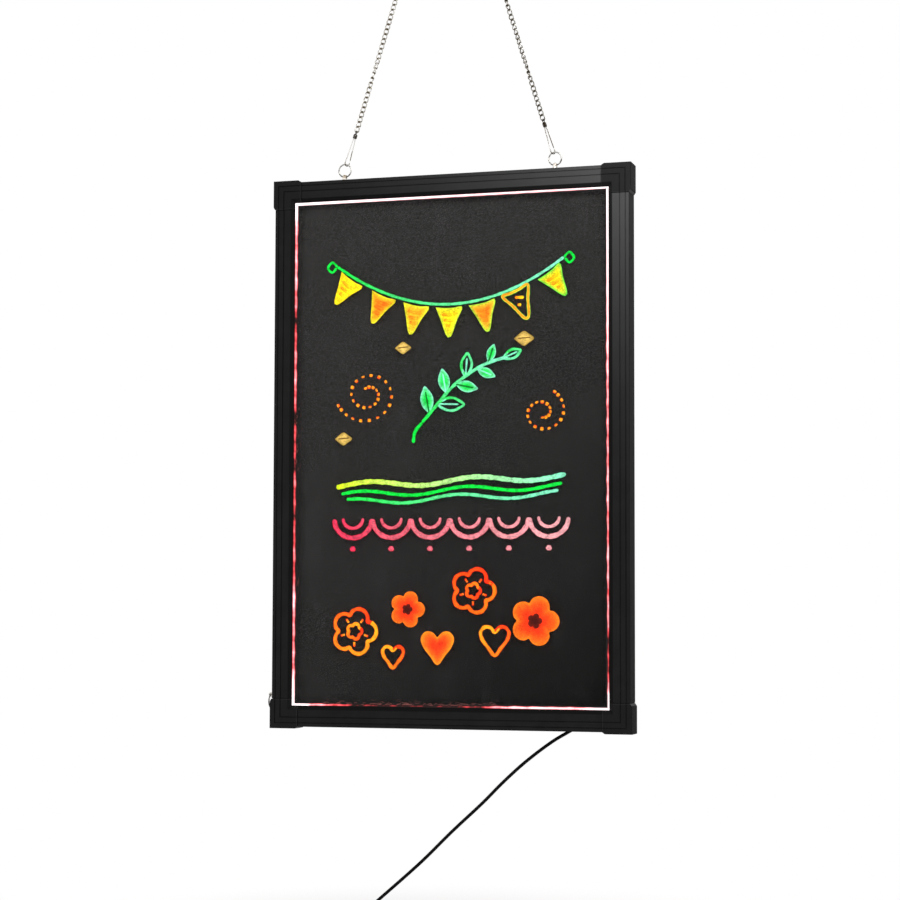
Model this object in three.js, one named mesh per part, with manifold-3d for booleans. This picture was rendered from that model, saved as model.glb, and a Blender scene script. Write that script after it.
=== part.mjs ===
// LED drawing board: an edge-lit writing pane in a black aluminium frame, hung on a curb chain.
// Millimetres, +Z up. The board's front faces -Y. The origin is where the hook bears on the top ring.

import * as THREE from 'three';
import { mergeVertices } from 'three/addons/utils/BufferGeometryUtils.js';
import Module from 'manifold-3d';

const wasm = await Module();
wasm.setup();

// Clearances
const seat_gap = 0.3;
const overrun = 2;

// Board and rail section
const board_width = 400;
const board_height = 600;
const board_depth = 25;
const board_shift = 3.2;
const rail_face = 23;
const rail_wall = 1.4;
const rail_edge_round = 0.8;
const outer_strip = 3.6;
const groove_width = 1.2;
const groove_depth = 1;
const groove_spacing = 5;
const bevel_width = 4.3;
const bevel_drop = 3.2;
const lip_thickness = 1.2;
const slot_reach = 9;

// Pane, sheet and back
const pane_thickness = 5;
const pane_cover = 7;
const sheet_thickness = 1;
const back_thickness = 8;
const strip_thickness = 1.5;
const strip_width = 5;

// Corner pieces
const cap_reach = 32;
const cap_proud = 2;
const cap_front_proud = 1;
const cap_end_chamfer = 3;
const cap_leg_length = 20;

// Rings, studs and nuts
const ring_outer = 15.6;
const ring_wire = 1.5;
const stud_width = 5.2;
const stud_height = 7.4;
const stud_hole = 3;
const stud_hole_height = 5.2;
const stud_dome = 0.8;
const stud_shank = 3;
const stud_shank_length = 5;
const nut_flats = 5.5;
const nut_thickness = 2.4;
const hanger_half_spacing = 119.6;
const side_stud_height = 34;

// Chain
const hang_drop = 386;
const link_pitch = 5.6;
const link_width = 5.8;
const link_wire = 1.35;
const link_ease = 0.26;
const link_twist_deg = 90;
const link_end_share = 0.5;

// Clips and swivels
const clip_wire = 1;
const clip_length = 31.5;
const clip_bottom_width = 5;
const clip_top_width = 2.6;
const clip_hook_height = 5.4;
const clip_shoulder = 3;
const clip_shank_inset = 2;
const shoulder_share = 0.6;
const gate_grip_inset = 1.2;
const barrel_width = 4.4;
const barrel_length = 5;
const barrel_bore = 3.2;
const barrel_bore_depth = 2.8;
const eye_outer = 4.6;
const eye_wire = 1;
const eye_sunk = 0.3;
const barrel_edge_share = 0.25;
const clip_turn_deg = 45;

// Control box on the back
const box_width = 74;
const box_height = 46;
const box_depth = 18;
const box_wall = 1.6;
const box_base_depth = 7;
const box_side_margin = 28;
const box_above_bottom = 60;
const box_corner = 3;
const button_width = 7;
const button_travel = 0.9;
const button_proud = 1.6;
const button_spacing = 15;
const button_flange = 1.2;
const switch_height = 3.4;
const circuit_thickness = 1.6;
const circuit_margin = 2.5;
const circuit_post = 2.6;
const screw_head = 5;
const screw_head_height = 1.2;
const screw_shank = 2.4;
const screw_length = 8;
const screw_margin = 6;
const screw_room_share = 0.75;
const screw_top_share = 0.25;
const post_low_share = 0.25;
const post_high_share = 0.125;

// Lead, coil and power supply
const cord_diameter = 3.6;
const cord_y = 17;
const gland_inset = 7;
const gland_length = 14;
const gland_wide = 8;
const gland_narrow = 5.2;
const gland_flange = 1.5;
const coil_turn_gap = 0.5;
const coil_mean_diameter = 40;
const coil_turns_per_layer = 2;
const coil_layers = 4;
const coil_reach = 315;
const coil_lead = 4;
const coil_tail = 20;
const coil_climb_turns = 0.5;
const rest_level = -1233.5;
const tie_width = 5;
const tie_thickness = 1.2;
const tie_clearance = 0.6;
const tie_corner = 1.5;
const adapter_length = 58;
const adapter_width = 34;
const adapter_height = 29.6;
const adapter_corner = 4;
const adapter_body_height = 20;
const adapter_gland_length = 12;
const blade_length = 16;
const blade_width = 6.3;
const blade_thickness = 1.5;
const blade_spacing = 12.7;
const blade_seat = 4;

// Facet counts
const ring_steps = 16;
const ring_sides = 6;
const link_sides = 4;
const wire_sides = 6;
const clip_steps = 20;
const gate_steps = 8;
const round_sides = 10;
const corner_steps = 2;
const cord_steps = 48;
const cord_sides = 8;
const coil_steps_per_turn = 20;

// The lead's free stretch, from its gland to the wound rest: across from the gland, back and up
const route_from_gland = [
  [0, 17, -958.85],
  [0, 17, -966],
  [-4, 17, -981],
  [-14.5, 17, -991.7],
  [-34.9, 17, -1004.4],
  [-55.3, 17, -1016.5],
  [-85.4, 17, -1039],
  [-110.4, 17, -1061.4],
  [-132.3, 17, -1083.2],
  [-167.1, 17, -1115.3],
  [-202, 17, -1149.2],
  [-249.2, 17, -1190.6],
  [-273, 17, -1211.5],
  [-289, 17, -1223.5],
  [-303, 17, -1229.3],
  [-310.7, 17, -1230.2],
];

// Places worked out from the sizes above
const ring_radius = (ring_outer - ring_wire) / 2;
const apex_z = -(ring_outer / 2 - ring_wire);
const stud_ring_z = apex_z - hang_drop;
const rail_top_z = stud_ring_z - ring_radius - stud_hole_height;
const board_z = rail_top_z - board_height / 2;
const front_y = -board_depth / 2;
const slot_front = bevel_drop + lip_thickness;
const pane_front = slot_front + seat_gap;
const sheet_front = pane_front + pane_thickness + seat_gap;
const back_front = sheet_front + sheet_thickness + seat_gap;
const back_rear = back_front + back_thickness;
const slot_rear = back_rear + seat_gap;
const slot_floor = rail_face - slot_reach;
const chamber_inner = slot_floor - rail_wall;
const hang_angle = Math.atan2(hanger_half_spacing, hang_drop);
const link_facet_share = Math.cos(Math.PI / link_sides);
const link_corner = link_wire / 2 / Math.sqrt(link_facet_share);
const link_flat = link_corner * link_facet_share;
const box_x = board_width / 2 - box_side_margin - box_width / 2;
const gland_x = board_shift + box_x + box_width / 2 - gland_inset;
const route = route_from_gland.map(([x, y, z]) => [gland_x + x, y, z]);
const coil_outer_radius = (coil_mean_diameter + coil_turns_per_layer * (cord_diameter + coil_turn_gap)) / 2;
const coil_centre = [gland_x - coil_reach, cord_y - coil_outer_radius];
const coil_level = rest_level + tie_thickness + seat_gap + cord_diameter / 2;

// Materials
const finishes = {
  aluminium: new THREE.MeshStandardMaterial({ color: 0x1b1c1e, roughness: 0.38, metalness: 0.55 }),
  plastic: new THREE.MeshStandardMaterial({ color: 0x17181a, roughness: 0.5, metalness: 0 }),
  pane: new THREE.MeshStandardMaterial({
    color: 0x9aa4a8, roughness: 0.08, metalness: 0, transparent: true, opacity: 0.3,
  }),
  sheet: new THREE.MeshStandardMaterial({ color: 0x26262a, roughness: 0.8, metalness: 0 }),
  board: new THREE.MeshStandardMaterial({ color: 0x1f1f20, roughness: 0.85, metalness: 0 }),
  light: new THREE.MeshStandardMaterial({ color: 0xf4efe6, roughness: 0.5, metalness: 0 }),
  nickel: new THREE.MeshStandardMaterial({ color: 0xb7ab98, roughness: 0.25, metalness: 1 }),
  dark_nickel: new THREE.MeshStandardMaterial({ color: 0x3a362f, roughness: 0.35, metalness: 1 }),
  circuit: new THREE.MeshStandardMaterial({ color: 0x1d4a33, roughness: 0.6, metalness: 0 }),
  rubber: new THREE.MeshStandardMaterial({ color: 0x101011, roughness: 0.65, metalness: 0 }),
};

const product = new THREE.Group();

// Adds one named piece, placed by its position and turned by its rotation
function add(name, geometry, finish, parent = product) {
  const mesh = new THREE.Mesh(geometry, finishes[finish]);
  mesh.name = name;
  parent.add(mesh);
  return mesh;
}

// Solids for joining and cutting
function solid_of(geometry, matrix) {
  const bare = geometry.index ? geometry.toNonIndexed() : geometry.clone();
  bare.deleteAttribute('normal');
  bare.deleteAttribute('uv');
  if (matrix) bare.applyMatrix4(matrix);
  const merged = mergeVertices(bare, 1e-4);
  return new wasm.Manifold(new wasm.Mesh({
    numProp: 3,
    vertProperties: new Float32Array(merged.attributes.position.array),
    triVerts: new Uint32Array(merged.index.array),
  }));
}

function geometry_of(solid) {
  const mesh = solid.getMesh();
  const geometry = new THREE.BufferGeometry();
  geometry.setAttribute('position', new THREE.BufferAttribute(mesh.vertProperties.slice(), 3));
  geometry.setIndex(new THREE.BufferAttribute(mesh.triVerts.slice(), 1));
  geometry.computeVertexNormals();
  return geometry;
}

// Leaves out the tiny closed voids where two bearing wires meet
function without_voids(solid) {
  return wasm.Manifold.compose(solid.decompose().filter((piece) => piece.volume() > 0));
}

function at(x, y, z) {
  return new THREE.Matrix4().makeTranslation(x, y, z);
}

function box_solid(low, high) {
  const size = high.map((value, k) => value - low[k]);
  const middle = high.map((value, k) => (value + low[k]) / 2);
  return solid_of(new THREE.BoxGeometry(...size), at(...middle));
}

// A cylinder between two heights along Z, then turned by a matrix
function rod_solid(radius, low, high, sides, matrix = new THREE.Matrix4()) {
  const geometry = new THREE.CylinderGeometry(radius, radius, high - low, sides);
  geometry.rotateX(Math.PI / 2);
  geometry.translate(0, 0, (low + high) / 2);
  return solid_of(geometry, matrix);
}

// A closed band of one section round a rectangle, mitred at its corners.
// Each point of the section is [distance in from the outer edge, depth behind the front face].
function mitred_frame(section, grow = 0) {
  const positions = [];
  const indices = [];
  const corners = [[-1, -1], [1, -1], [1, 1], [-1, 1]];
  for (const [side_x, side_z] of corners) {
    for (const [inset, depth] of section) {
      positions.push(
        side_x * (board_width / 2 + grow - inset),
        front_y + depth,
        side_z * (board_height / 2 + grow - inset),
      );
    }
  }
  const count = section.length;
  for (let corner = 0; corner < corners.length; corner += 1) {
    const next = (corner + 1) % corners.length;
    for (let point = 0; point < count; point += 1) {
      const after = (point + 1) % count;
      const a = corner * count + point;
      const b = corner * count + after;
      const c = next * count + after;
      const d = next * count + point;
      indices.push(a, c, b, a, d, c);
    }
  }
  const geometry = new THREE.BufferGeometry();
  geometry.setAttribute('position', new THREE.Float32BufferAttribute(positions, 3));
  geometry.setIndex(indices);
  return solid_of(geometry);
}

// The front of the rail's section: outer strip, two grooves, face, bevel and lip
function front_outline(lift) {
  const first = outer_strip;
  const second = first + groove_width + groove_spacing;
  const bevel_start = rail_face - bevel_width;
  return [
    [rail_edge_round, -lift],
    [first, -lift],
    [first, groove_depth - lift],
    [first + groove_width, groove_depth - lift],
    [first + groove_width, -lift],
    [second, -lift],
    [second, groove_depth - lift],
    [second + groove_width, groove_depth - lift],
    [second + groove_width, -lift],
    [bevel_start, -lift],
    [rail_face, bevel_drop],
    [rail_face, slot_front],
  ];
}

// The rear of the section: slot for the pane and back panel, rear flange and rear face
function rear_outline() {
  return [
    [slot_floor, slot_front],
    [slot_floor, slot_rear],
    [rail_face, slot_rear],
    [rail_face, slot_rear + rail_wall],
    [slot_floor, slot_rear + rail_wall],
    [slot_floor, board_depth],
  ];
}

function rail_section() {
  return [...front_outline(0), ...rear_outline(), [0, board_depth], [0, rail_edge_round]];
}

function chamber_section() {
  const front = rail_wall + groove_depth;
  return [
    [rail_wall, front],
    [chamber_inner, front],
    [chamber_inner, board_depth - rail_wall],
    [rail_wall, board_depth - rail_wall],
  ];
}

function cap_section() {
  const front = front_outline(cap_front_proud);
  front[0] = [rail_edge_round - cap_proud, -cap_front_proud];
  return [
    ...front,
    ...rear_outline(),
    [-cap_proud, board_depth],
    [-cap_proud, rail_edge_round - cap_front_proud],
  ];
}

// Frame
const board = new THREE.Group();
board.position.set(board_shift, 0, board_z);
product.add(board);

const half_width = board_width / 2;
const half_height = board_height / 2;

function build_rails() {
  const tube = mitred_frame(rail_section()).subtract(mitred_frame(chamber_section()));
  const ends = cap_reach - cap_proud + seat_gap;
  const low_y = front_y - overrun;
  const high_y = front_y + board_depth + overrun;
  const across = half_width - ends;
  const up = half_height - ends;
  const rails = {
    rail_top: [[-across, low_y, up], [across, high_y, half_height + overrun]],
    rail_bottom: [[-across, low_y, -half_height - overrun], [across, high_y, -up]],
    rail_left: [[-half_width - overrun, low_y, -up], [-across, high_y, up]],
    rail_right: [[across, low_y, -up], [half_width + overrun, high_y, up]],
  };
  for (const [name, [low, high]] of Object.entries(rails)) {
    let rail = tube.intersect(box_solid(low, high));
    for (const stud of studs) {
      if (stud.rail === name) rail = rail.subtract(stud_hole_solid(stud));
    }
    add(name, geometry_of(rail), 'aluminium', board);
  }
}

// Studs: the two hangers on the top rail and one low on the left rail's outer side
const studs = [
  { name: 'left', rail: 'rail_top', place: [-hanger_half_spacing - board_shift, 0, half_height], turn: 0 },
  { name: 'right', rail: 'rail_top', place: [hanger_half_spacing - board_shift, 0, half_height], turn: 0 },
  { name: 'side', rail: 'rail_left', place: [-half_width, 0, side_stud_height - half_height], turn: 1 },
];

// Turns a shape made along +Z so that it stands out of its rail
function stud_matrix(stud) {
  const turned = new THREE.Matrix4();
  if (stud.turn) {
    turned.makeBasis(
      new THREE.Vector3(0, 1, 0), new THREE.Vector3(0, 0, -1), new THREE.Vector3(-1, 0, 0),
    );
  }
  return at(...stud.place).multiply(turned);
}

function stud_hole_solid(stud) {
  const radius = stud_shank / 2 + seat_gap;
  return rod_solid(radius, -rail_wall - overrun, overrun, round_sides, stud_matrix(stud));
}

// The room that a stud's nut needs in a leg that passes it
function nut_room_solid(stud) {
  const radius = nut_flats / 2 / Math.cos(Math.PI / 6) + seat_gap;
  return rod_solid(radius, -slot_floor, overrun, round_sides, stud_matrix(stud));
}

function stud_geometry() {
  const radius = stud_width / 2;
  const profile = [
    new THREE.Vector2(0, -stud_shank_length),
    new THREE.Vector2(stud_shank / 2, -stud_shank_length),
    new THREE.Vector2(stud_shank / 2, seat_gap),
    new THREE.Vector2(radius, seat_gap),
    new THREE.Vector2(radius, stud_height - stud_dome),
    new THREE.Vector2(radius - stud_dome, stud_height),
    new THREE.Vector2(0, stud_height),
  ];
  const post = new THREE.LatheGeometry(profile, round_sides);
  post.rotateX(Math.PI / 2);
  const across = new THREE.Matrix4().makeRotationY(Math.PI / 2);
  const hole = rod_solid(
    stud_hole / 2, -radius - overrun, radius + overrun, round_sides,
    at(0, 0, stud_hole_height).multiply(across),
  );
  return geometry_of(solid_of(post).subtract(hole));
}

function nut_geometry() {
  const across_corners = nut_flats / Math.cos(Math.PI / 6);
  const top = -rail_wall - seat_gap;
  const body = rod_solid(across_corners / 2, top - nut_thickness, top, 6);
  const bore = rod_solid(
    stud_shank / 2 + seat_gap, top - nut_thickness - overrun, top + overrun, round_sides,
  );
  return geometry_of(body.subtract(bore));
}

// A closed tube round a loop of points, mitred at each. A reference direction lies across the loop.
function closed_tube(points, references, radius, sides) {
  const positions = [];
  const indices = [];
  const count = points.length;
  points.forEach((point, k) => {
    const arriving = point.clone().sub(points[(k + count - 1) % count]).normalize();
    const leaving = points[(k + 1) % count].clone().sub(point).normalize();
    const along = arriving.clone().add(leaving).normalize();
    const outward = along.clone().cross(references[k]).normalize();
    const across = along.clone().cross(outward).normalize();
    const mitre = 1 / along.dot(arriving);
    for (let side = 0; side < sides; side += 1) {
      const angle = (2 * Math.PI * side) / sides + Math.PI / sides;
      const place = point.clone()
        .addScaledVector(outward, mitre * radius * Math.cos(angle))
        .addScaledVector(across, radius * Math.sin(angle));
      positions.push(place.x, place.y, place.z);
    }
  });
  for (let k = 0; k < count; k += 1) {
    const next = (k + 1) % count;
    for (let side = 0; side < sides; side += 1) {
      const beside = (side + 1) % sides;
      const a = k * sides + side;
      const b = k * sides + beside;
      const c = next * sides + beside;
      const d = next * sides + side;
      indices.push(a, b, c, a, c, d);
    }
  }
  const geometry = new THREE.BufferGeometry();
  geometry.setAttribute('position', new THREE.Float32BufferAttribute(positions, 3));
  geometry.setIndex(indices);
  geometry.computeVertexNormals();
  return geometry;
}

// A wire ring in the XZ plane about its own centre
function ring_geometry(outer, wire, steps, sides) {
  const radius = (outer - wire) / 2;
  const points = [];
  const references = [];
  for (let k = 0; k < steps; k += 1) {
    const angle = (2 * Math.PI * (k + 0.5)) / steps;
    points.push(new THREE.Vector3(radius * Math.cos(angle), 0, radius * Math.sin(angle)));
    references.push(new THREE.Vector3(0, 1, 0));
  }
  return closed_tube(points, references, wire / 2, sides);
}

// One link along Z, twisted from one end angle to the other. Its outline is six-sided with flat
// ends, so that the next link's end wire bears on a straight stretch.
function link_geometry(span, start_deg, end_deg) {
  const half_span = span / 2;
  const half_wide = (link_width - link_wire) / 2;
  const end_wide = half_wide * link_end_share;
  const outline = [
    [end_wide, half_span], [half_wide, 0], [end_wide, -half_span],
    [-end_wide, -half_span], [-half_wide, 0], [-end_wide, half_span],
  ];
  const points = [];
  const references = [];
  for (const [wide, along] of outline) {
    const share = (half_span - along) / span;
    const twist = THREE.MathUtils.degToRad(start_deg + (end_deg - start_deg) * share);
    points.push(new THREE.Vector3(wide * Math.cos(twist), wide * Math.sin(twist), along));
    references.push(new THREE.Vector3(-Math.sin(twist), Math.cos(twist), 0));
  }
  return closed_tube(points, references, link_corner, link_sides);
}

// Hanging gear: everything on one side lies on a line from the top ring's centre to the lower ring's
const apex_link_start = ring_radius - (ring_wire / 2 + seat_gap + link_flat);
const apex_link_end = apex_link_start + link_pitch + link_wire;
const chain_start = apex_link_end - 2 * link_flat - seat_gap;
const side_length = Math.hypot(hanger_half_spacing, hang_drop);
const clip_bottom = side_length - (ring_radius - (ring_wire / 2 + seat_gap + clip_wire / 2));
const barrel_bottom = clip_bottom - clip_length;
const barrel_top = barrel_bottom - barrel_length;
const eye_radius = (eye_outer - eye_wire) / 2;
const eye_place = barrel_top - (eye_outer / 2 - eye_sunk);
const chain_end = eye_place - (eye_radius - eye_wire / 2 - seat_gap - link_flat);
const chain_length = chain_end - chain_start;
const link_bearing = 2 * link_flat + link_ease;
const link_count = Math.round((chain_length - link_bearing) / link_pitch);
const link_step = (chain_length - link_bearing) / link_count;
const link_span = link_step + link_bearing;

function chain_geometry() {
  const half_twist = link_twist_deg / 2;
  let chain = null;
  for (let k = 0; k < link_count; k += 1) {
    const start = k === 0 ? 0 : -half_twist;
    const centre = chain_start + link_span / 2 + k * link_step;
    const link = solid_of(link_geometry(link_span, start, half_twist), at(0, 0, -centre));
    chain = chain ? chain.add(link) : link;
  }
  return geometry_of(without_voids(chain));
}

// A bent wire through chosen points, with flat ends
function wire_geometry(points, radius, steps, sides) {
  const path = new THREE.CatmullRomCurve3(points.map((p) => new THREE.Vector3(...p)));
  path.curveType = 'centripetal';
  const section = new THREE.Shape();
  for (let side = 0; side < sides; side += 1) {
    const angle = (2 * Math.PI * side) / sides;
    const x = radius * Math.cos(angle);
    const y = radius * Math.sin(angle);
    if (side === 0) section.moveTo(x, y);
    else section.lineTo(x, y);
  }
  section.closePath();
  return new THREE.ExtrudeGeometry(section, { steps, extrudePath: path, bevelEnabled: false });
}

// The clip's fixed leg: shank in the barrel, long leg, bend round the ring and hook.
// The clip lies in its own XZ plane with the bend's lowest wire centre at the origin.
function clip_geometry() {
  const low = clip_bottom_width / 2;
  const high = clip_top_width / 2;
  const top = clip_length + clip_shank_inset;
  const bend = low;
  return wire_geometry([
    [-high * shoulder_share, 0, top],
    [-high * shoulder_share, 0, clip_length],
    [-high, 0, clip_length - clip_shoulder],
    [-(high + low) / 2, 0, clip_length / 2],
    [-low, 0, bend],
    [-low * Math.SQRT1_2, 0, bend * (1 - Math.SQRT1_2)],
    [0, 0, 0],
    [low * Math.SQRT1_2, 0, bend * (1 - Math.SQRT1_2)],
    [low, 0, bend],
    [low, 0, clip_hook_height],
  ], clip_wire / 2, clip_steps, wire_sides);
}

// The sprung leg, from the barrel down to the hook's tip. It turns about its end in the barrel.
function gate_geometry() {
  const low = clip_bottom_width / 2;
  const high = clip_top_width / 2;
  return wire_geometry([
    [high * shoulder_share, 0, clip_length + gate_grip_inset],
    [high * shoulder_share, 0, clip_length],
    [high, 0, clip_length - clip_shoulder],
    [(high + low) / 2, 0, clip_length / 2],
    [low, 0, clip_hook_height + clip_wire / 2 + seat_gap],
  ], clip_wire / 2, gate_steps, wire_sides);
}

// Swivel: a turned barrel, bored from below for the clip's legs, with an eye for the chain
function swivel_geometry() {
  const radius = barrel_width / 2;
  const edge = radius * barrel_edge_share;
  const profile = [
    new THREE.Vector2(0, barrel_length),
    new THREE.Vector2(radius - edge, barrel_length),
    new THREE.Vector2(radius, barrel_length - edge),
    new THREE.Vector2(radius, edge),
    new THREE.Vector2(radius - edge, 0),
    new THREE.Vector2(0, 0),
  ].reverse();
  const barrel = new THREE.LatheGeometry(profile, round_sides);
  barrel.rotateX(Math.PI / 2);
  const bore = rod_solid(barrel_bore / 2, -overrun, barrel_bore_depth, round_sides);
  const eye = solid_of(
    ring_geometry(eye_outer, eye_wire, round_sides, wire_sides),
    at(0, 0, barrel_length + eye_outer / 2 - eye_sunk),
  );
  return geometry_of(solid_of(barrel).subtract(bore).add(eye));
}

// One side of the hanging gear, drawn straight down from the top ring's centre and then leaned out
function build_side(name, direction) {
  const side = new THREE.Group();
  side.position.set(0, 0, apex_z);
  side.rotation.y = -direction * hang_angle;
  product.add(side);

  const apex_span = apex_link_end - apex_link_start;
  const apex_link = add(`apex_link_${name}`, link_geometry(apex_span, 90, 90), 'nickel', side);
  apex_link.position.z = -(apex_link_start + apex_link_end) / 2;
  add(`chain_${name}`, chain_geometry(), 'nickel', side);

  const swivel = add(`swivel_${name}`, swivel_geometry(), 'dark_nickel', side);
  swivel.position.z = -barrel_bottom;
  swivel.rotation.z = THREE.MathUtils.degToRad(-link_twist_deg / 2);

  const clip = new THREE.Group();
  clip.position.z = -clip_bottom;
  clip.rotation.z = THREE.MathUtils.degToRad(clip_turn_deg);
  side.add(clip);
  add(`clip_${name}`, clip_geometry(), 'nickel', clip);
  add(`gate_${name}`, gate_geometry(), 'nickel', clip);
}

function build_hanging_gear() {
  const ring = ring_geometry(ring_outer, ring_wire, ring_steps, ring_sides);
  const top = add('ring_top', ring, 'nickel');
  top.position.z = apex_z;
  build_side('left', -1);
  build_side('right', 1);
  for (const stud of studs) {
    const post = add(`hanger_stud_${stud.name}`, stud_geometry(), 'nickel', board);
    post.applyMatrix4(stud_matrix(stud));
    const nut = add(`stud_nut_${stud.name}`, nut_geometry(), 'nickel', board);
    nut.applyMatrix4(stud_matrix(stud));
    const loop = add(`ring_${stud.name}`, ring, 'nickel', board);
    const [x, y, z] = stud.place;
    if (stud.turn) {
      loop.rotation.z = Math.PI / 2;
      loop.position.set(x - stud_hole_height, y, z - ring_radius);
    } else {
      loop.position.set(x, y, z + stud_hole_height + ring_radius);
    }
  }
}

// Corner pieces: the rails' section made thicker, with legs that plug into the rails
function leg_solid(sign_x, sign_z, lies_along_x) {
  const low = rail_wall + seat_gap;
  const high = chamber_inner - seat_gap;
  const near = cap_reach - cap_proud - overrun;
  const far = cap_reach - cap_proud + cap_leg_length;
  const front = front_y + rail_wall + groove_depth + seat_gap;
  const rear = front_y + board_depth - rail_wall - seat_gap;
  const [in_x, in_z] = lies_along_x ? [[near, far], [low, high]] : [[low, high], [near, far]];
  const xs = in_x.map((value) => sign_x * (half_width - value)).sort((a, b) => a - b);
  const zs = in_z.map((value) => sign_z * (half_height - value)).sort((a, b) => a - b);
  return box_solid([xs[0], front, zs[0]], [xs[1], rear, zs[1]]);
}

// Slopes the end of a corner piece down to the rail, on its outer side
function end_chamfer(sign_x, sign_z, lies_along_x) {
  const wedge = new THREE.Shape();
  const end = cap_reach - cap_proud;
  wedge.moveTo(end - cap_end_chamfer, -cap_proud);
  wedge.lineTo(end, 0);
  wedge.lineTo(end + overrun, 0);
  wedge.lineTo(end + overrun, -cap_proud - overrun);
  wedge.lineTo(end - cap_end_chamfer, -cap_proud - overrun);
  wedge.closePath();
  const depth = board_depth + 2 * overrun;
  const geometry = new THREE.ExtrudeGeometry(wedge, { depth, bevelEnabled: false });
  geometry.translate(0, 0, front_y - overrun);
  const position = geometry.attributes.position;
  for (let k = 0; k < position.count; k += 1) {
    const along = position.getX(k);
    const inset = position.getY(k);
    const y = position.getZ(k);
    const from_x = lies_along_x ? along : inset;
    const from_z = lies_along_x ? inset : along;
    position.setXYZ(k, sign_x * (half_width - from_x), y, sign_z * (half_height - from_z));
  }
  return outward(geometry);
}

// Turns the faces of a mirrored shape outward
function outward(geometry) {
  const bare = geometry.index ? geometry.toNonIndexed() : geometry.clone();
  const position = bare.attributes.position;
  const [a, b, c] = [new THREE.Vector3(), new THREE.Vector3(), new THREE.Vector3()];
  let volume = 0;
  for (let k = 0; k < position.count; k += 3) {
    a.fromBufferAttribute(position, k);
    b.fromBufferAttribute(position, k + 1);
    c.fromBufferAttribute(position, k + 2);
    volume += a.dot(b.cross(c));
  }
  if (volume < 0) {
    for (let k = 0; k < position.count; k += 3) {
      a.fromBufferAttribute(position, k);
      b.fromBufferAttribute(position, k + 1);
      position.setXYZ(k, b.x, b.y, b.z);
      position.setXYZ(k + 1, a.x, a.y, a.z);
    }
  }
  return solid_of(bare);
}

function build_caps() {
  const band = mitred_frame(cap_section());
  const corners = {
    corner_cap_top_left: [-1, 1],
    corner_cap_top_right: [1, 1],
    corner_cap_bottom_left: [-1, -1],
    corner_cap_bottom_right: [1, -1],
  };
  const reach = cap_reach - cap_proud;
  for (const [name, [sign_x, sign_z]] of Object.entries(corners)) {
    const xs = [half_width - reach, half_width + cap_proud + overrun].map((v) => sign_x * v);
    const zs = [half_height - reach, half_height + cap_proud + overrun].map((v) => sign_z * v);
    xs.sort((a, b) => a - b);
    zs.sort((a, b) => a - b);
    const window_box = box_solid(
      [xs[0], front_y - cap_front_proud - overrun, zs[0]],
      [xs[1], front_y + board_depth + overrun, zs[1]],
    );
    let cap = band.intersect(window_box);
    for (const lies_along_x of [true, false]) {
      cap = cap.subtract(end_chamfer(sign_x, sign_z, lies_along_x));
      cap = cap.add(leg_solid(sign_x, sign_z, lies_along_x));
    }
    for (const stud of studs) cap = cap.subtract(nut_room_solid(stud));
    add(name, geometry_of(cap), 'plastic', board);
  }
}

// Pane, black sheet, back panel and the LED strips at the bottom of the rails' slots
function build_panel() {
  const inset = slot_floor + strip_thickness + 2 * seat_gap;
  const layers = [
    ['writing_pane', 'pane', pane_front, pane_thickness],
    ['backing_sheet', 'sheet', sheet_front, sheet_thickness],
    ['back_panel', 'board', back_front, back_thickness],
  ];
  for (const [name, finish, front, thickness] of layers) {
    const geometry = new THREE.BoxGeometry(
      board_width - 2 * inset, thickness, board_height - 2 * inset,
    );
    const sheet = add(name, geometry, finish, board);
    sheet.position.y = front_y + front + thickness / 2;
  }
  const strip_y = front_y + pane_front + pane_thickness / 2;
  const strip_inset = slot_floor + seat_gap + strip_thickness / 2;
  const free_x = board_width - 2 * (inset + cap_leg_length);
  const free_z = board_height - 2 * (inset + cap_leg_length);
  const strips = {
    led_strip_top: [free_x, strip_thickness, 0, half_height - strip_inset],
    led_strip_bottom: [free_x, strip_thickness, 0, strip_inset - half_height],
    led_strip_left: [strip_thickness, free_z, strip_inset - half_width, 0],
    led_strip_right: [strip_thickness, free_z, half_width - strip_inset, 0],
  };
  for (const [name, [size_x, size_z, x, z]] of Object.entries(strips)) {
    const strip = add(name, new THREE.BoxGeometry(size_x, strip_width, size_z), 'light', board);
    strip.position.set(x, strip_y, z);
  }
}

// An upright block with rounded corners, from one height to another
function rounded_block(width, height, corner, low, high) {
  return outward(rounded_extrusion(width, height, corner, low, high));
}

// A plate with rounded corners in the XZ plane, from one depth to another
function rounded_plate(width, height, corner, near, far) {
  const geometry = rounded_extrusion(width, height, corner, near, far);
  geometry.rotateX(Math.PI / 2);
  geometry.scale(1, -1, 1);
  return outward(geometry);
}

function rounded_extrusion(width, height, corner, near, far) {
  const shape = new THREE.Shape();
  const [w, h] = [width / 2, height / 2];
  shape.moveTo(-w + corner, -h);
  shape.lineTo(w - corner, -h);
  shape.absarc(w - corner, -h + corner, corner, -Math.PI / 2, 0, false);
  shape.lineTo(w, h - corner);
  shape.absarc(w - corner, h - corner, corner, 0, Math.PI / 2, false);
  shape.lineTo(-w + corner, h);
  shape.absarc(-w + corner, h - corner, corner, Math.PI / 2, Math.PI, false);
  shape.lineTo(-w, -h + corner);
  shape.absarc(-w + corner, -h + corner, corner, Math.PI, 1.5 * Math.PI, false);
  const geometry = new THREE.ExtrudeGeometry(shape, {
    depth: far - near, bevelEnabled: false, curveSegments: corner_steps,
  });
  geometry.translate(0, 0, near);
  return geometry;
}

// Control box, drawn about its middle with Y counted back from the back panel
const box_front = seat_gap;
const box_rear = box_front + box_depth;
const base_top = box_front + box_base_depth;
const circuit_front = box_front + box_wall + circuit_post + seat_gap;
const cover_under = box_rear - box_wall;
const button_spots = { power: -1, mode: 0, speed: 1 };

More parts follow.
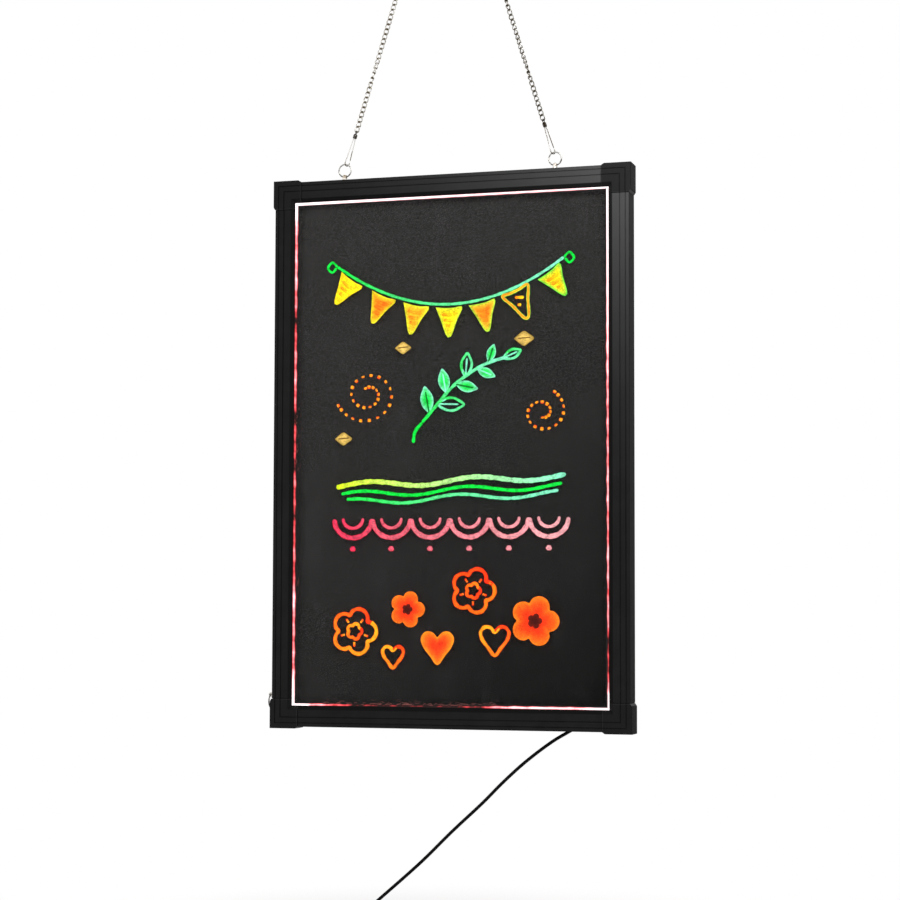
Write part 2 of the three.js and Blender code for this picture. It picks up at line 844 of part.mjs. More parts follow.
function control_base() {
  const outer = rounded_plate(box_width, box_height, box_corner, box_front, base_top);
  const inner_w = box_width - 2 * box_wall;
  const inner_h = box_height - 2 * box_wall;
  const inner = rounded_plate(
    inner_w, inner_h, box_corner - box_wall, box_front + box_wall, base_top + overrun,
  );
  let base = outer.subtract(inner);
  const post_x = box_width / 2 - screw_margin;
  for (const side of [-1, 1]) {
    const flat = new THREE.Matrix4().makeRotationX(-Math.PI / 2);
    const place = at(side * post_x, 0, 0).multiply(flat);
    const post = rod_solid(screw_head / 2, box_front, base_top, round_sides, place);
    const pilot = rod_solid(
      screw_shank / 2 + seat_gap, box_front + box_wall, base_top + overrun, round_sides, place,
    );
    base = base.add(post).subtract(pilot);
    const ledge = box_solid(
      [side * post_x - screw_head * screw_room_share, box_front, -box_height * post_low_share],
      [
        side * post_x + screw_head * screw_room_share,
        box_front + box_wall + circuit_post,
        -box_height * post_high_share,
      ],
    );
    base = base.add(ledge);
  }
  return geometry_of(base.subtract(gland_notch()));
}

function gland_notch() {
  const radius = gland_narrow / 2 + seat_gap;
  return rod_solid(
    radius, -box_height / 2 - overrun, -box_height / 2 + box_wall + overrun, round_sides,
    at(box_cord_x, box_cord_y, 0),
  );
}

function control_cover() {
  const outer = rounded_plate(box_width, box_height, box_corner, base_top + seat_gap, box_rear);
  const inner = rounded_plate(
    box_width - 2 * box_wall, box_height - 2 * box_wall, box_corner - box_wall,
    base_top - overrun, cover_under,
  );
  let cover = outer.subtract(inner);
  const post_x = box_width / 2 - screw_margin;
  const flat = new THREE.Matrix4().makeRotationX(-Math.PI / 2);
  for (const side of [-1, 1]) {
    const place = at(side * post_x, 0, 0).multiply(flat);
    const post = rod_solid(
      screw_head / 2 + box_wall / 2, base_top + seat_gap, box_rear, round_sides, place,
    );
    const bore = rod_solid(
      screw_shank / 2 + seat_gap, base_top - overrun, box_rear + overrun, round_sides, place,
    );
    cover = cover.add(post).subtract(bore);
  }
  for (const spot of Object.values(button_spots)) {
    const hole = button_width / 2 + seat_gap;
    const x = spot * button_spacing;
    cover = cover.subtract(box_solid(
      [x - hole, cover_under - overrun, -hole], [x + hole, box_rear + overrun, hole],
    ));
  }
  return geometry_of(cover.subtract(gland_notch()));
}

function button_geometry() {
  const half = button_width / 2;
  const flange_rear = cover_under - seat_gap;
  const cap = box_solid([-half, flange_rear - overrun / 2, -half], [half, box_rear + button_proud, half]);
  const wide = half + button_flange;
  const flange = box_solid(
    [-wide, flange_rear - button_flange, -wide], [wide, flange_rear, wide],
  );
  return geometry_of(cap.add(flange));
}

function circuit_geometry() {
  const w = box_width / 2 - box_wall - circuit_margin - screw_margin;
  const h = box_height / 2 - box_wall - circuit_margin;
  const rear = circuit_front + circuit_thickness;
  let circuit = box_solid([-w, circuit_front, -h], [w, rear, h]);
  const top = cover_under - seat_gap - button_flange - button_travel - seat_gap;
  const half = switch_height / 2;
  for (const spot of Object.values(button_spots)) {
    const x = spot * button_spacing;
    circuit = circuit.add(box_solid([x - half, rear - box_wall / 2, -half], [x + half, top, half]));
  }
  return geometry_of(circuit);
}

function screw_geometry() {
  const profile = [
    new THREE.Vector2(0, -screw_length),
    new THREE.Vector2(screw_shank / 2, -screw_length),
    new THREE.Vector2(screw_shank / 2, seat_gap),
    new THREE.Vector2(screw_head / 2, seat_gap),
    new THREE.Vector2(screw_head / 2, screw_head_height / 2),
    new THREE.Vector2(screw_head * screw_top_share, screw_head_height),
    new THREE.Vector2(0, screw_head_height),
  ];
  return new THREE.LatheGeometry(profile, round_sides);
}

const box_y = front_y + back_rear;
const box_z = box_above_bottom - half_height + box_height / 2;
const box_cord_x = gland_x - board_shift - box_x;
const box_cord_y = cord_y - box_y;

function build_control_box() {
  const box = new THREE.Group();
  box.position.set(box_x, box_y, box_z);
  board.add(box);
  add('control_base', control_base(), 'plastic', box);
  add('control_cover', control_cover(), 'plastic', box);
  add('control_circuit', circuit_geometry(), 'circuit', box);
  for (const [name, spot] of Object.entries(button_spots)) {
    const button = add(`button_${name}`, button_geometry(), 'rubber', box);
    button.position.x = spot * button_spacing;
  }
  for (const [name, side] of [['left', -1], ['right', 1]]) {
    const screw = add(`control_screw_${name}`, screw_geometry(), 'nickel', box);
    screw.position.set(side * (box_width / 2 - screw_margin), box_rear, 0);
  }
}

// Lead: gland, free stretch, wound and tied rest, and the power supply
function gland_geometry(wide, narrow, length) {
  const wall = box_wall + seat_gap;
  const profile = [
    new THREE.Vector2(0, wall + gland_flange),
    new THREE.Vector2(wide / 2, wall + gland_flange),
    new THREE.Vector2(wide / 2, wall),
    new THREE.Vector2(narrow / 2, wall),
    new THREE.Vector2(narrow / 2, -seat_gap),
    new THREE.Vector2(wide / 2, -seat_gap),
    new THREE.Vector2(wide / 2, -seat_gap - gland_flange),
    new THREE.Vector2(narrow / 2, -length),
    new THREE.Vector2(0, -length),
  ].reverse();
  return new THREE.LatheGeometry(profile, round_sides);
}

function coil_points() {
  const spacing = cord_diameter + coil_turn_gap;
  const turns = coil_turns_per_layer * coil_layers;
  const points = [];
  const steps = turns * coil_steps_per_turn;
  for (let k = 0; k <= steps; k += 1) {
    const turn = k / coil_steps_per_turn;
    const layer = Math.min(Math.floor(turn / coil_turns_per_layer), coil_layers - 1);
    const into_layer = turn - layer * coil_turns_per_layer;
    const inward = layer % 2 === 0 ? into_layer : coil_turns_per_layer - into_layer;
    const radius = coil_outer_radius - inward * spacing;
    const angle = Math.PI / 2 + 2 * Math.PI * turn;
    let level = layer;
    for (let border = 1; border < coil_layers; border += 1) {
      const from_border = turn - border * coil_turns_per_layer;
      if (Math.abs(from_border) < coil_climb_turns / 2) {
        level = border - 0.5 + from_border / coil_climb_turns;
      }
    }
    points.push(new THREE.Vector3(
      coil_centre[0] + radius * Math.cos(angle),
      coil_centre[1] + radius * Math.sin(angle),
      coil_level + level * spacing,
    ));
  }
  return points;
}

// The least gap between two stretches of the coil that are over half a turn apart
function least_gap(points) {
  const skip = coil_steps_per_turn / 2;
  let least = Infinity;
  for (let a = 0; a < points.length; a += 1) {
    for (let b = a + skip; b < points.length; b += 1) {
      least = Math.min(least, points[a].distanceTo(points[b]));
    }
  }
  return least - cord_diameter;
}

// An open tube through a row of points, with flat ends
function open_tube(points, radius, sides) {
  const positions = [];
  const indices = [];
  points.forEach((point, k) => {
    const before = points[Math.max(k - 1, 0)];
    const after = points[Math.min(k + 1, points.length - 1)];
    const along = after.clone().sub(before).normalize();
    const outward_side = new THREE.Vector3(0, 0, 1).cross(along).normalize();
    const up = along.clone().cross(outward_side).normalize();
    for (let side = 0; side < sides; side += 1) {
      const angle = (2 * Math.PI * side) / sides;
      const place = point.clone()
        .addScaledVector(outward_side, radius * Math.cos(angle))
        .addScaledVector(up, radius * Math.sin(angle));
      positions.push(place.x, place.y, place.z);
    }
  });
  const last = (points.length - 1) * sides;
  for (let k = 0; k < points.length - 1; k += 1) {
    for (let side = 0; side < sides; side += 1) {
      const beside = (side + 1) % sides;
      const a = k * sides + side;
      const b = k * sides + beside;
      indices.push(a, b, b + sides, a, b + sides, a + sides);
    }
  }
  for (let side = 1; side < sides - 1; side += 1) {
    indices.push(0, side + 1, side);
    indices.push(last, last + side, last + side + 1);
  }
  const geometry = new THREE.BufferGeometry();
  geometry.setAttribute('position', new THREE.Float32BufferAttribute(positions, 3));
  geometry.setIndex(indices);
  geometry.computeVertexNormals();
  return geometry;
}

function coil_geometry() {
  const turns = coil_points();
  console.log(`least gap in the wound lead: ${least_gap(turns).toFixed(2)} mm`);
  const first = turns[0].clone().setX(coil_centre[0] + coil_lead);
  const last = turns[turns.length - 1].clone().setX(coil_centre[0] - coil_tail);
  return open_tube([first, ...turns, last], cord_diameter / 2, wire_sides);
}

function tie_geometry() {
  const spacing = cord_diameter + coil_turn_gap;
  const wide = (coil_turns_per_layer - 1) * spacing + cord_diameter + 2 * tie_clearance;
  const high = (coil_layers - 1) * spacing + cord_diameter + 2 * seat_gap;
  const outer_solid = rounded_block(
    wide + 2 * tie_thickness, high + 2 * tie_thickness, tie_corner, -tie_width / 2, tie_width / 2,
  );
  const inner_solid = rounded_block(
    wide, high, tie_corner - tie_thickness / 2, -tie_width, tie_width,
  );
  return geometry_of(outer_solid.subtract(inner_solid));
}

function build_lead() {
  const gland = add('cord_gland', gland_geometry(gland_wide, gland_narrow, gland_length), 'rubber');
  gland.rotation.x = Math.PI / 2;
  gland.position.set(gland_x, cord_y, board_z + box_z - box_height / 2);

  const path = new THREE.CatmullRomCurve3(route.map((p) => new THREE.Vector3(...p)));
  path.curveType = 'centripetal';
  const section = new THREE.Shape();
  section.absarc(0, 0, cord_diameter / 2, 0, 2 * Math.PI, false);
  const tube = new THREE.ExtrudeGeometry(section, {
    steps: cord_steps, curveSegments: cord_sides / 2, extrudePath: path, bevelEnabled: false,
  });
  add('cord', tube, 'rubber');
  add('cord_coil', coil_geometry(), 'rubber');

  const tie = add('cord_tie', tie_geometry(), 'rubber');
  const middle_radius = coil_outer_radius - coil_turns_per_layer * (cord_diameter + coil_turn_gap) / 2;
  const middle_level = coil_level + (coil_layers - 1) * (cord_diameter + coil_turn_gap) / 2;
  tie.position.set(coil_centre[0], coil_centre[1] - middle_radius, middle_level);
  tie.rotation.set(Math.PI / 2, 0, Math.PI / 2, 'ZXY');
}

function build_adapter() {
  const adapter = new THREE.Group();
  const height = coil_level + (coil_layers - 1) * (cord_diameter + coil_turn_gap);
  const near = coil_centre[0] - coil_tail - seat_gap - adapter_gland_length;
  adapter.position.set(near, cord_y, height);
  product.add(adapter);

  const middle = -adapter_length / 2;
  const low = rest_level - height;
  const high = low + adapter_height;
  const split = low + adapter_body_height;
  const slide = at(middle, 0, 0);
  const reach = blade_seat + seat_gap;
  let body = rounded_block(adapter_length, adapter_width, adapter_corner, low, split).transform(
    slide.elements,
  );
  const half_thick = blade_thickness / 2 + seat_gap;
  const half_wide = blade_width / 2 + seat_gap;
  for (const side of [-1, 1]) {
    const y = side * blade_spacing / 2;
    body = body.subtract(box_solid(
      [-adapter_length - overrun, y - half_thick, -half_wide],
      [-adapter_length + reach, y + half_thick, half_wide],
    ));
  }
  add('adapter_body', geometry_of(body), 'plastic', adapter);
  const cover = rounded_block(
    adapter_length, adapter_width, adapter_corner, split + seat_gap, high,
  ).transform(slide.elements);
  add('adapter_cover', geometry_of(cover), 'plastic', adapter);
  for (const [name, side] of [['left', -1], ['right', 1]]) {
    const length = blade_length + blade_seat;
    const blade = add(
      `adapter_blade_${name}`, new THREE.BoxGeometry(length, blade_thickness, blade_width), 'nickel', adapter,
    );
    blade.position.set(-adapter_length + blade_seat - length / 2, side * blade_spacing / 2, 0);
  }
  const boot = new THREE.LatheGeometry([
    new THREE.Vector2(0, 0),
    new THREE.Vector2(gland_narrow / 2, 0),
    new THREE.Vector2(gland_wide / 2, adapter_gland_length - seat_gap),
    new THREE.Vector2(0, adapter_gland_length - seat_gap),
  ], round_sides);
  const gland = add('adapter_gland', boot, 'rubber', adapter);
  gland.rotation.z = Math.PI / 2;
  gland.position.x = adapter_gland_length;
}

build_rails();
build_caps();
build_panel();
build_hanging_gear();
build_control_box();
build_lead();
build_adapter();

export default product;
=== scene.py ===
import math

import bpy
import numpy as np
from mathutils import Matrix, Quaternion, Vector


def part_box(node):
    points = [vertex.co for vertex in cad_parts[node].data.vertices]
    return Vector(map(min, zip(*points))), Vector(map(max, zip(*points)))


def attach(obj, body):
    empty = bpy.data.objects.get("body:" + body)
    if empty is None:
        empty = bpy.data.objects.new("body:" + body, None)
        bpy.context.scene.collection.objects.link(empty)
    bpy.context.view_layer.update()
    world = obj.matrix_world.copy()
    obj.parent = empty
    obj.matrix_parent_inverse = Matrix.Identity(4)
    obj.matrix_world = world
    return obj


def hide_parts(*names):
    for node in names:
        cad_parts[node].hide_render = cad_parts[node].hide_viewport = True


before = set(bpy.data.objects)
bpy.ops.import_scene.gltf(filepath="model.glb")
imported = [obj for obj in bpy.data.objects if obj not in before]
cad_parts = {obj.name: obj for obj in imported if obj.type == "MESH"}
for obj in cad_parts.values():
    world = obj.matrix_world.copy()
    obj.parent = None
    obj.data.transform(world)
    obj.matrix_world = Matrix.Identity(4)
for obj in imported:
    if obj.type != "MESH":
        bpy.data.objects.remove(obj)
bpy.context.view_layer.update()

# Lighted drawing board: a written pane in a black frame, hung on a twisted chain.
# Metres, +Z up. The board's front faces -Y and the hook bears on the top ring at the origin.

mm = 0.001

# Camera, at the photograph's viewing angle
view_azimuth = 16.565
view_rise = -3.564
view_roll = 0.161
view_distance = 2.3786
view_aim = (0.0026, 0.0, -0.7336)
view_lens = 88.0
view_shift = 0.03

# Board
half_width = 200 * mm
half_height = 300 * mm
board_x = 3.2 * mm
board_z = -704.55 * mm
rail_face = 23 * mm
cap_end = 30 * mm
pane_y = -7.8 * mm
rest_z = -1233.5 * mm

# Hanging gear
ring_outer = 15.6 * mm
ring_wire = 1.5 * mm
ring_radius = (ring_outer - ring_wire) / 2
apex_z = -(ring_outer / 2 - ring_wire)
hang_half = 119.6 * mm
hang_drop = 386 * mm
side_length = math.hypot(hang_half, hang_drop)
seat_gap = 0.3 * mm
clip_length = 31.5 * mm
clip_wire = 1 * mm
barrel_length = 5 * mm
eye_rise = 2 * mm
eye_radius = 1.8 * mm
link_wire = 1.35 * mm
link_width = 5.8 * mm
link_pitch = 5.6 * mm
link_play = 0.26 * mm
link_twist = 45  # degrees that a link turns from its middle to its end
link_flat = link_wire / 2 * math.sqrt(math.cos(math.radians(link_twist)))
apex_start = ring_radius - (ring_wire / 2 + seat_gap + link_flat)
apex_end = apex_start + link_pitch + link_wire
chain_start = apex_end - 2 * link_flat - seat_gap
clip_bottom = side_length - (ring_radius - (ring_wire / 2 + seat_gap + clip_wire / 2))
barrel_bottom = clip_bottom - clip_length
eye_place = barrel_bottom - barrel_length - eye_rise
chain_end = eye_place - (eye_radius - clip_wire / 2 - seat_gap - link_flat)
link_bearing = 2 * link_flat + link_play
link_count = round((chain_end - chain_start - link_bearing) / link_pitch)
link_step = (chain_end - chain_start - link_bearing) / link_count
link_span = link_step + link_bearing

# Lead
cord_width = 3.6 * mm
cord_y = 17 * mm
gland_x = 168.2 * mm
coil_pitch = 4.1 * mm
coil_radius = 24.1 * mm
coil_centre = (gland_x - 315 * mm, cord_y - coil_radius)
coil_level = -1230.2 * mm
coil_turns = 8
layer_turns = 2
box_floor = board_z - half_height + 60 * mm
route = np.array([
    (165, 17, -958.85), (165, 17, -966), (161, 17, -981), (150.5, 17, -991.7),
    (130.1, 17, -1004.4), (109.7, 17, -1016.5), (79.6, 17, -1039), (54.6, 17, -1061.4),
    (32.7, 17, -1083.2), (-2.1, 17, -1115.3), (-37, 17, -1149.2), (-84.2, 17, -1190.6),
    (-108, 17, -1211.5), (-124, 17, -1223.5), (-138, 17, -1229.3), (-145.7, 17, -1230.2),
]) * mm + np.array([board_x, 0, 0])


# Shapes as whole arrays

def unit(vectors):
    """Each vector divided by its own length."""
    return vectors / np.linalg.norm(vectors, axis=-1, keepdims=True)


def steps(points):
    """The distance from each point to the next."""
    return np.linalg.norm(np.diff(points, axis=0), axis=1)


def whole_turn(count):
    """Equal angles, in radians, round one whole turn."""
    return np.linspace(0, 2 * math.pi, count, endpoint=False)


def smooth_line(points, count):
    """A centripetal curve through the points, read at count equal shares of its length.
    Between two points it blends the straight lines through its four nearest points."""
    p = np.asarray(points, float)
    p = np.vstack([2 * p[0] - p[1], p, 2 * p[-1] - p[-2]])
    knots = np.concatenate([[0], np.cumsum(steps(p) ** 0.5)])
    fine = 24 * (len(p) - 3)
    t = np.linspace(knots[1], knots[-2], fine + 1)
    place = np.clip(np.searchsorted(knots, t, side="right") - 1, 1, len(p) - 3)
    four = place + np.arange(-1, 3)[:, None]
    near, knot, t = p[four], knots[four][:, :, None], t[:, None]

    def part_way(i, j, first, second):
        """From first at knot i to second at knot j."""
        return ((knot[j] - t) * first + (t - knot[i]) * second) / (knot[j] - knot[i])

    lines = [part_way(i, i + 1, near[i], near[i + 1]) for i in range(3)]
    bends = [part_way(i, i + 2, lines[i], lines[i + 1]) for i in range(2)]
    line = part_way(1, 2, *bends)
    run = np.concatenate([[0], np.cumsum(steps(line))])
    even = np.linspace(0, run[-1], count)
    return np.stack([np.interp(even, run, line[:, i]) for i in range(3)], axis=1)


def tube(path, radius, sides, across, closed=False):
    """A round surface about a path: at each point, radius times the cosine and sine of the angle
    goes out along two directions square to the path. across says which way lies beside it."""
    ahead, behind = np.roll(path, -1, axis=0), np.roll(path, 1, axis=0)
    if not closed:
        ahead[-1], behind[0] = path[-1], path[0]
    along = unit(ahead - behind)
    side = unit(np.cross(along, np.broadcast_to(across, path.shape)))
    up = np.cross(side, along)
    turn = whole_turn(sides)
    ring = np.cos(turn)[None, :, None] * side[:, None] + np.sin(turn)[None, :, None] * up[:, None]
    return path[:, None] + np.reshape(radius, (-1, 1, 1)) * ring


def lathe(profile, sides):
    """A profile of (radius, height) points turned about Z."""
    p = np.asarray(profile, float)
    turn = whole_turn(sides)
    x = p[:, :1] * np.cos(turn)
    y = p[:, :1] * np.sin(turn)
    return np.stack([x, y, np.broadcast_to(p[:, 1:2], x.shape)], axis=2)


def grid_faces(rows, columns, wrap_rows, wrap_columns):
    """Four-sided faces between neighbours on a grid of rows by columns points."""
    r = np.arange(rows if wrap_rows else rows - 1)
    c = np.arange(columns if wrap_columns else columns - 1)
    r, c = (g.ravel() for g in np.meshgrid(r, c, indexing="ij"))
    r2, c2 = (r + 1) % rows, (c + 1) % columns
    corners = ((r, c), (r2, c), (r2, c2), (r, c2))
    return np.stack([row * columns + column for row, column in corners], axis=1)


def new_object(name, data):
    """An object made of its data, unturned at the origin of the scene."""
    obj = bpy.data.objects.new(name, data)
    bpy.context.scene.collection.objects.link(obj)
    return obj


class Shape:
    """Points and faces gathered from several surfaces, for one piece."""

    def __init__(self):
        self.points, self.faces, self.fans, self.inks, self.count = [], [], [], [], 0

    def surface(self, grid, wrap_rows=False, wrap_columns=True, ink=None):
        """Adds a grid of points. An open row of rings is closed with one face at each end."""
        rows, columns = grid.shape[:2]
        faces = grid_faces(rows, columns, wrap_rows, wrap_columns)
        flat = grid.reshape(-1, 3)
        first, last = np.arange(columns)[::-1], np.arange(columns) + (rows - 1) * columns
        if self.inward(flat, faces, wrap_columns):
            faces, first, last = faces[:, ::-1], first[::-1], last[::-1]
        self.faces.append(faces + self.count)
        if wrap_columns and not wrap_rows:
            self.fans += [(first + self.count).tolist(), (last + self.count).tolist()]
        self.points.append(flat)
        if ink is not None:
            self.inks.append(np.broadcast_to(np.asarray(ink, float), grid.shape).reshape(-1, 3))
        self.count += len(flat)
        return self

    @staticmethod
    def inward(points, faces, closed):
        """True if the volume that the faces sweep from the surface's middle is below nought,
        or, on an open sheet, if its faces look along +Y, into the board."""
        a, b, c, d = (points[faces[:, i]] for i in range(4))
        normal = np.cross(c - a, d - b)
        if not closed:
            return normal[:, 1].sum() > 0
        middle = points.mean(axis=0)
        return np.einsum("ij,ij->", (a + b + c + d) / 4 - middle, normal) < 0

    def piece(self, name, finish, body, slot_name, *stands_for):
        """Makes the mesh object, smooth but for edges of over 40 degrees, to ride on its body."""
        mesh = bpy.data.meshes.new(name)
        faces = np.vstack(self.faces).tolist() + self.fans
        mesh.from_pydata(np.vstack(self.points).tolist(), [], faces)
        if self.inks:
            layer = mesh.color_attributes.new("ink", "FLOAT_COLOR", "POINT")
            inks = np.vstack(self.inks)
            layer.data.foreach_set("color", np.hstack([inks, np.ones((len(inks), 1))]).ravel())
        mesh.polygons.foreach_set("use_smooth", [True] * len(mesh.polygons))
        mesh.set_sharp_from_angle(angle=math.radians(40))
        mesh.update()
        mesh.materials.append(finish)
        obj = new_object(name, mesh)
        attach(obj, body)
        if stands_for:
            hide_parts(*stands_for)
        return obj


def placed(grid, matrix):
    """Every point of a grid moved by a 4 by 4 matrix."""
    return grid @ matrix[:3, :3].T + matrix[:3, 3]


def turned(axis, degrees, place=(0, 0, 0)):
    """A 4 by 4 matrix that turns about X, Y or Z and then moves to a place."""
    c, s = math.cos(math.radians(degrees)), math.sin(math.radians(degrees))
    i, j = {"X": (1, 2), "Y": (2, 0), "Z": (0, 1)}[axis]
    m = np.eye(4)
    m[i, i], m[i, j], m[j, i], m[j, j] = c, -s, s, c
    m[:3, 3] = place
    return m


# Shader maths

def operator(operation, reflected=False):
    """A method that adds a Math node on its own socket and another value, in that order or, when
    reflected, the other way about."""
    def method(self, *others):
        values = (*others, self) if reflected else (self, *others)
        return self.nodes.add("Math", values, operation=operation)
    return method


class Value:
    """A socket's output. Python's operators add Math nodes to the socket's own tree."""

    def __init__(self, nodes, socket):
        self.nodes, self.socket = nodes, socket

    __add__, __radd__ = operator("ADD"), operator("ADD", True)
    __sub__, __rsub__ = operator("SUBTRACT"), operator("SUBTRACT", True)
    __mul__, __rmul__ = operator("MULTIPLY"), operator("MULTIPLY", True)
    __truediv__, __rtruediv__ = operator("DIVIDE"), operator("DIVIDE", True)
    __pow__, lowest, highest = operator("POWER"), operator("MINIMUM"), operator("MAXIMUM")
    absolute, sine, fraction = operator("ABSOLUTE"), operator("SINE"), operator("FRACT")

    def between(self, low, high):
        """0 at low, 1 at high, with an eased rise between them."""
        return self.nodes.add("MapRange", {"Value": self, "From Min": low, "From Max": high},
                              interpolation_type="SMOOTHSTEP")


class Nodes:
    """A node tree, and one way to add a node to it."""

    def __init__(self, tree):
        self.tree = tree

    def add(self, kind, values=(), out=0, **settings):
        """Adds a node, sets its settings, then its sockets' values or links. Gives an output."""
        node = self.tree.nodes.new(f"ShaderNode{kind}")
        for name, value in settings.items():
            setattr(node, name, value)
        for name, value in values.items() if isinstance(values, dict) else enumerate(values):
            if isinstance(value, Value):
                self.tree.links.new(value.socket, node.inputs[name])
            else:
                node.inputs[name].default_value = value
        return Value(self, node.outputs[out])

    def seen(self):
        """1 for camera, mirror and glass rays and 0 for all others."""
        rays = [self.add("LightPath", out=f"Is {ray} Ray")
                for ray in ("Camera", "Glossy", "Transmission")]
        return (rays[0] + rays[1] + rays[2]).lowest(1.0)


class Finish(Nodes):
    """One material: its tree, and its Principled shader, whose constants are mirror, the
    specular level, and the settings."""

    def __init__(self, name, mirror=0.5, **settings):
        self.material = bpy.data.materials.new(name)
        self.material.use_nodes = True
        super().__init__(self.material.node_tree)
        self.shader = self.tree.nodes["Principled BSDF"]
        self.shader.inputs["Specular IOR Level"].default_value = mirror
        for words, value in settings.items():
            self.shader.inputs[words.replace("_", " ")].default_value = value
        self.place = self.add("TexCoord", out="Object")

    def ink(self, out):
        """The ink stored on the points, as a Color or as a number, Fac."""
        return self.add("Attribute", out=out, attribute_name="ink")

    def noise(self, size, detail=3, roughness=0.5, stretch=(1, 1, 1), bend=0.0):
        """Noise from 0 to 1 in lumps about size millimetres wide, stretched along X, Y and Z."""
        spot = self.add("Mapping", {"Vector": self.place, "Scale": [1 / s for s in stretch]})
        return self.add("TexNoise", {"Vector": spot, "Scale": 1 / (size * mm), "Detail": detail,
                                     "Roughness": roughness, "Distortion": bend})

    def axes(self):
        """The three object coordinates as numbers."""
        return [self.add("SeparateXYZ", [self.place], i) for i in range(3)]

    def blend(self, share, first, second):
        """A colour between two colours."""
        first, second = ((*c, 1.0) if isinstance(c, tuple) else c for c in (first, second))
        return self.add("Mix", {0: share, 6: first, 7: second}, 2, data_type="RGBA")

    def link(self, name, value):
        """Feeds a value to one of the shader's sockets."""
        self.tree.links.new(value.socket, self.shader.inputs[name])

    def dress(self, colour, roughness=None, height=None, depth=0.0, strength=1.0):
        """Feeds the shader a colour and, where given, a roughness and the bump of a height times
        a depth in millimetres. Gives the finished material."""
        self.link("Base Color", colour)
        if roughness is not None:
            self.link("Roughness", roughness)
        if height is not None:
            self.link("Normal", self.add("Bump", {
                "Strength": strength, "Distance": depth * mm, "Height": height}))
        return self.material


def grey(level, warmth=0.0):
    """A colour of that sRGB level from 0 to 255, as linear numbers, redder with warmth."""
    def linear(v):
        v = max(v, 0.0) / 255
        return v / 12.92 if v < 0.04045 else ((v + 0.055) / 1.055) ** 2.4
    return (linear(level + warmth), linear(level), linear(level - warmth))


def srgb(red, green, blue):
    """An sRGB colour of 0 to 255 as linear numbers."""
    return tuple(grey(v)[1] for v in (red, green, blue))


def board_shares(f):
    """How far a point lies to the right and up across the board, from 0 to 1."""
    x, _, z = f.axes()
    return (x - board_x) / (2 * half_width) + 0.5, (z - board_z) / (2 * half_height) + 0.5


def painted_sheen(f):
    """0 to 1: painted sheen, a paler reflection that grows towards the board's upper right corner.
    """
    right, rise = board_shares(f)
    return (right * 0.8 + rise * 1.2 - 1.0).highest(0.0) ** 3.0


def frame_edges(f, proud=0.0):
    """Three shares read from the place on the frame: 0 on the band next to the pane, where painted
    shade stands in for a sloping bevel, and 1 past it; 1 on the outer wall, which stands proud of
    the rails on a cap; and 1 on a hair's width at the caps' ends, for a painted highlight on a
    cap's edge and a painted shadow on the rail beside it."""
    x, _, z = f.axes()
    across, up = (x - board_x).absolute(), (z - board_z).absolute()
    past = (across - (half_width - rail_face)).highest(up - (half_height - rail_face))
    ends = (across - (half_width - cap_end)).absolute(), (up - (half_height - cap_end)).absolute()
    # painted shade: 0 on the band next to the pane, in place of a sloping bevel
    past_painted_bevel = past.between(3.8 * mm, 5.2 * mm)
    wall = (across - half_width).highest(up - half_height)
    # painted highlight on a cap's end edge, and painted shadow on the rail beside it
    painted_cap_seam = 1 - ends[0].lowest(ends[1]).between(0.35 * mm, 0.95 * mm)
    return past_painted_bevel, wall.between(proud - 0.8 * mm, proud - 0.2 * mm), painted_cap_seam


def drawn_metal(name, lengthwise):
    """Black anodised rail: fine draw lines along its length, faint clouds in the black, a painted
    sheen to the upper right, painted shade by the pane and the caps, and thumb marks in the gloss."""
    f = Finish(name, 0.06)
    along = (120, 1, 1) if lengthwise == "X" else (1, 1, 120)
    lines = f.noise(0.35, 2, 0.6, along)
    clouds = f.noise(22, 3, 0.55)
    marks = f.noise(7, 4, 0.6, bend=0.4).between(0.5, 0.72)
    past_painted_bevel, wall, painted_cap_seam = frame_edges(f)
    # painted sheen towards the upper right, kept off the outer wall so that side stays dark
    share = painted_sheen(f) * (1 - 0.9 * wall) * 1.12 + clouds * 0.1 + lines * 0.08
    # painted shade on the band next to the pane, and a painted shadow on the rail by each cap's end
    share = share * (0.1 + 0.9 * past_painted_bevel) * (1 - 0.9 * painted_cap_seam)
    gloss = 0.46 + 0.1 * lines + 0.12 * marks + 0.4 * wall
    return f.dress(f.blend(share, grey(8), grey(80)), gloss, lines, 0.012, 0.6)


def moulded_plastic():
    """Moulded black corners: a spark-eroded grain, soft clouds, paler rubbed spots, a painted sheen
    to the upper right, painted shade by the pane, and a painted highlight on the edge where a
    corner piece ends on a rail."""
    f = Finish("moulded_black", 0.07)
    pits = f.noise(0.5, 4, 0.65)
    clouds = f.noise(14, 2)
    rubs = f.noise(4, 5, 0.7).between(0.6, 0.78)
    past_painted_bevel, wall, painted_cap_seam = frame_edges(f, 2 * mm)
    # painted sheen towards the upper right, kept off the outer wall so that side stays dark
    share = painted_sheen(f) * (1 - 0.9 * wall) * 0.5 + rubs * 0.12 + clouds * 0.16 + 0.05
    # painted shade on the band next to the pane, and a painted highlight on each cap's end edge
    share = share * (0.3 + 0.7 * past_painted_bevel) + painted_cap_seam * (pits * 1.3 - 0.2).highest(0.0) * 0.9
    gloss = 0.46 + 0.16 * pits - 0.08 * rubs + 0.4 * wall
    return f.dress(f.blend(share, grey(14), grey(50)), gloss, pits, 0.02, 0.5)


def housing_plastic():
    """Moulded black housings: a coarser spark-eroded grain with a soft sheen, pale scuffs, and
    faint flow clouds."""
    f = Finish("housing_plastic", 0.28)
    pits = f.noise(0.9, 4, 0.65)
    clouds = f.noise(16, 2)
    scuffs = f.noise(3, 5, 0.7, (3, 1, 1)).between(0.6, 0.74)
    colour = f.blend(scuffs * 0.35 + clouds * 0.3 + pits * 0.2, grey(13), grey(44))
    return f.dress(colour, 0.5 + 0.16 * pits - 0.1 * scuffs, pits, 0.06, 0.6)


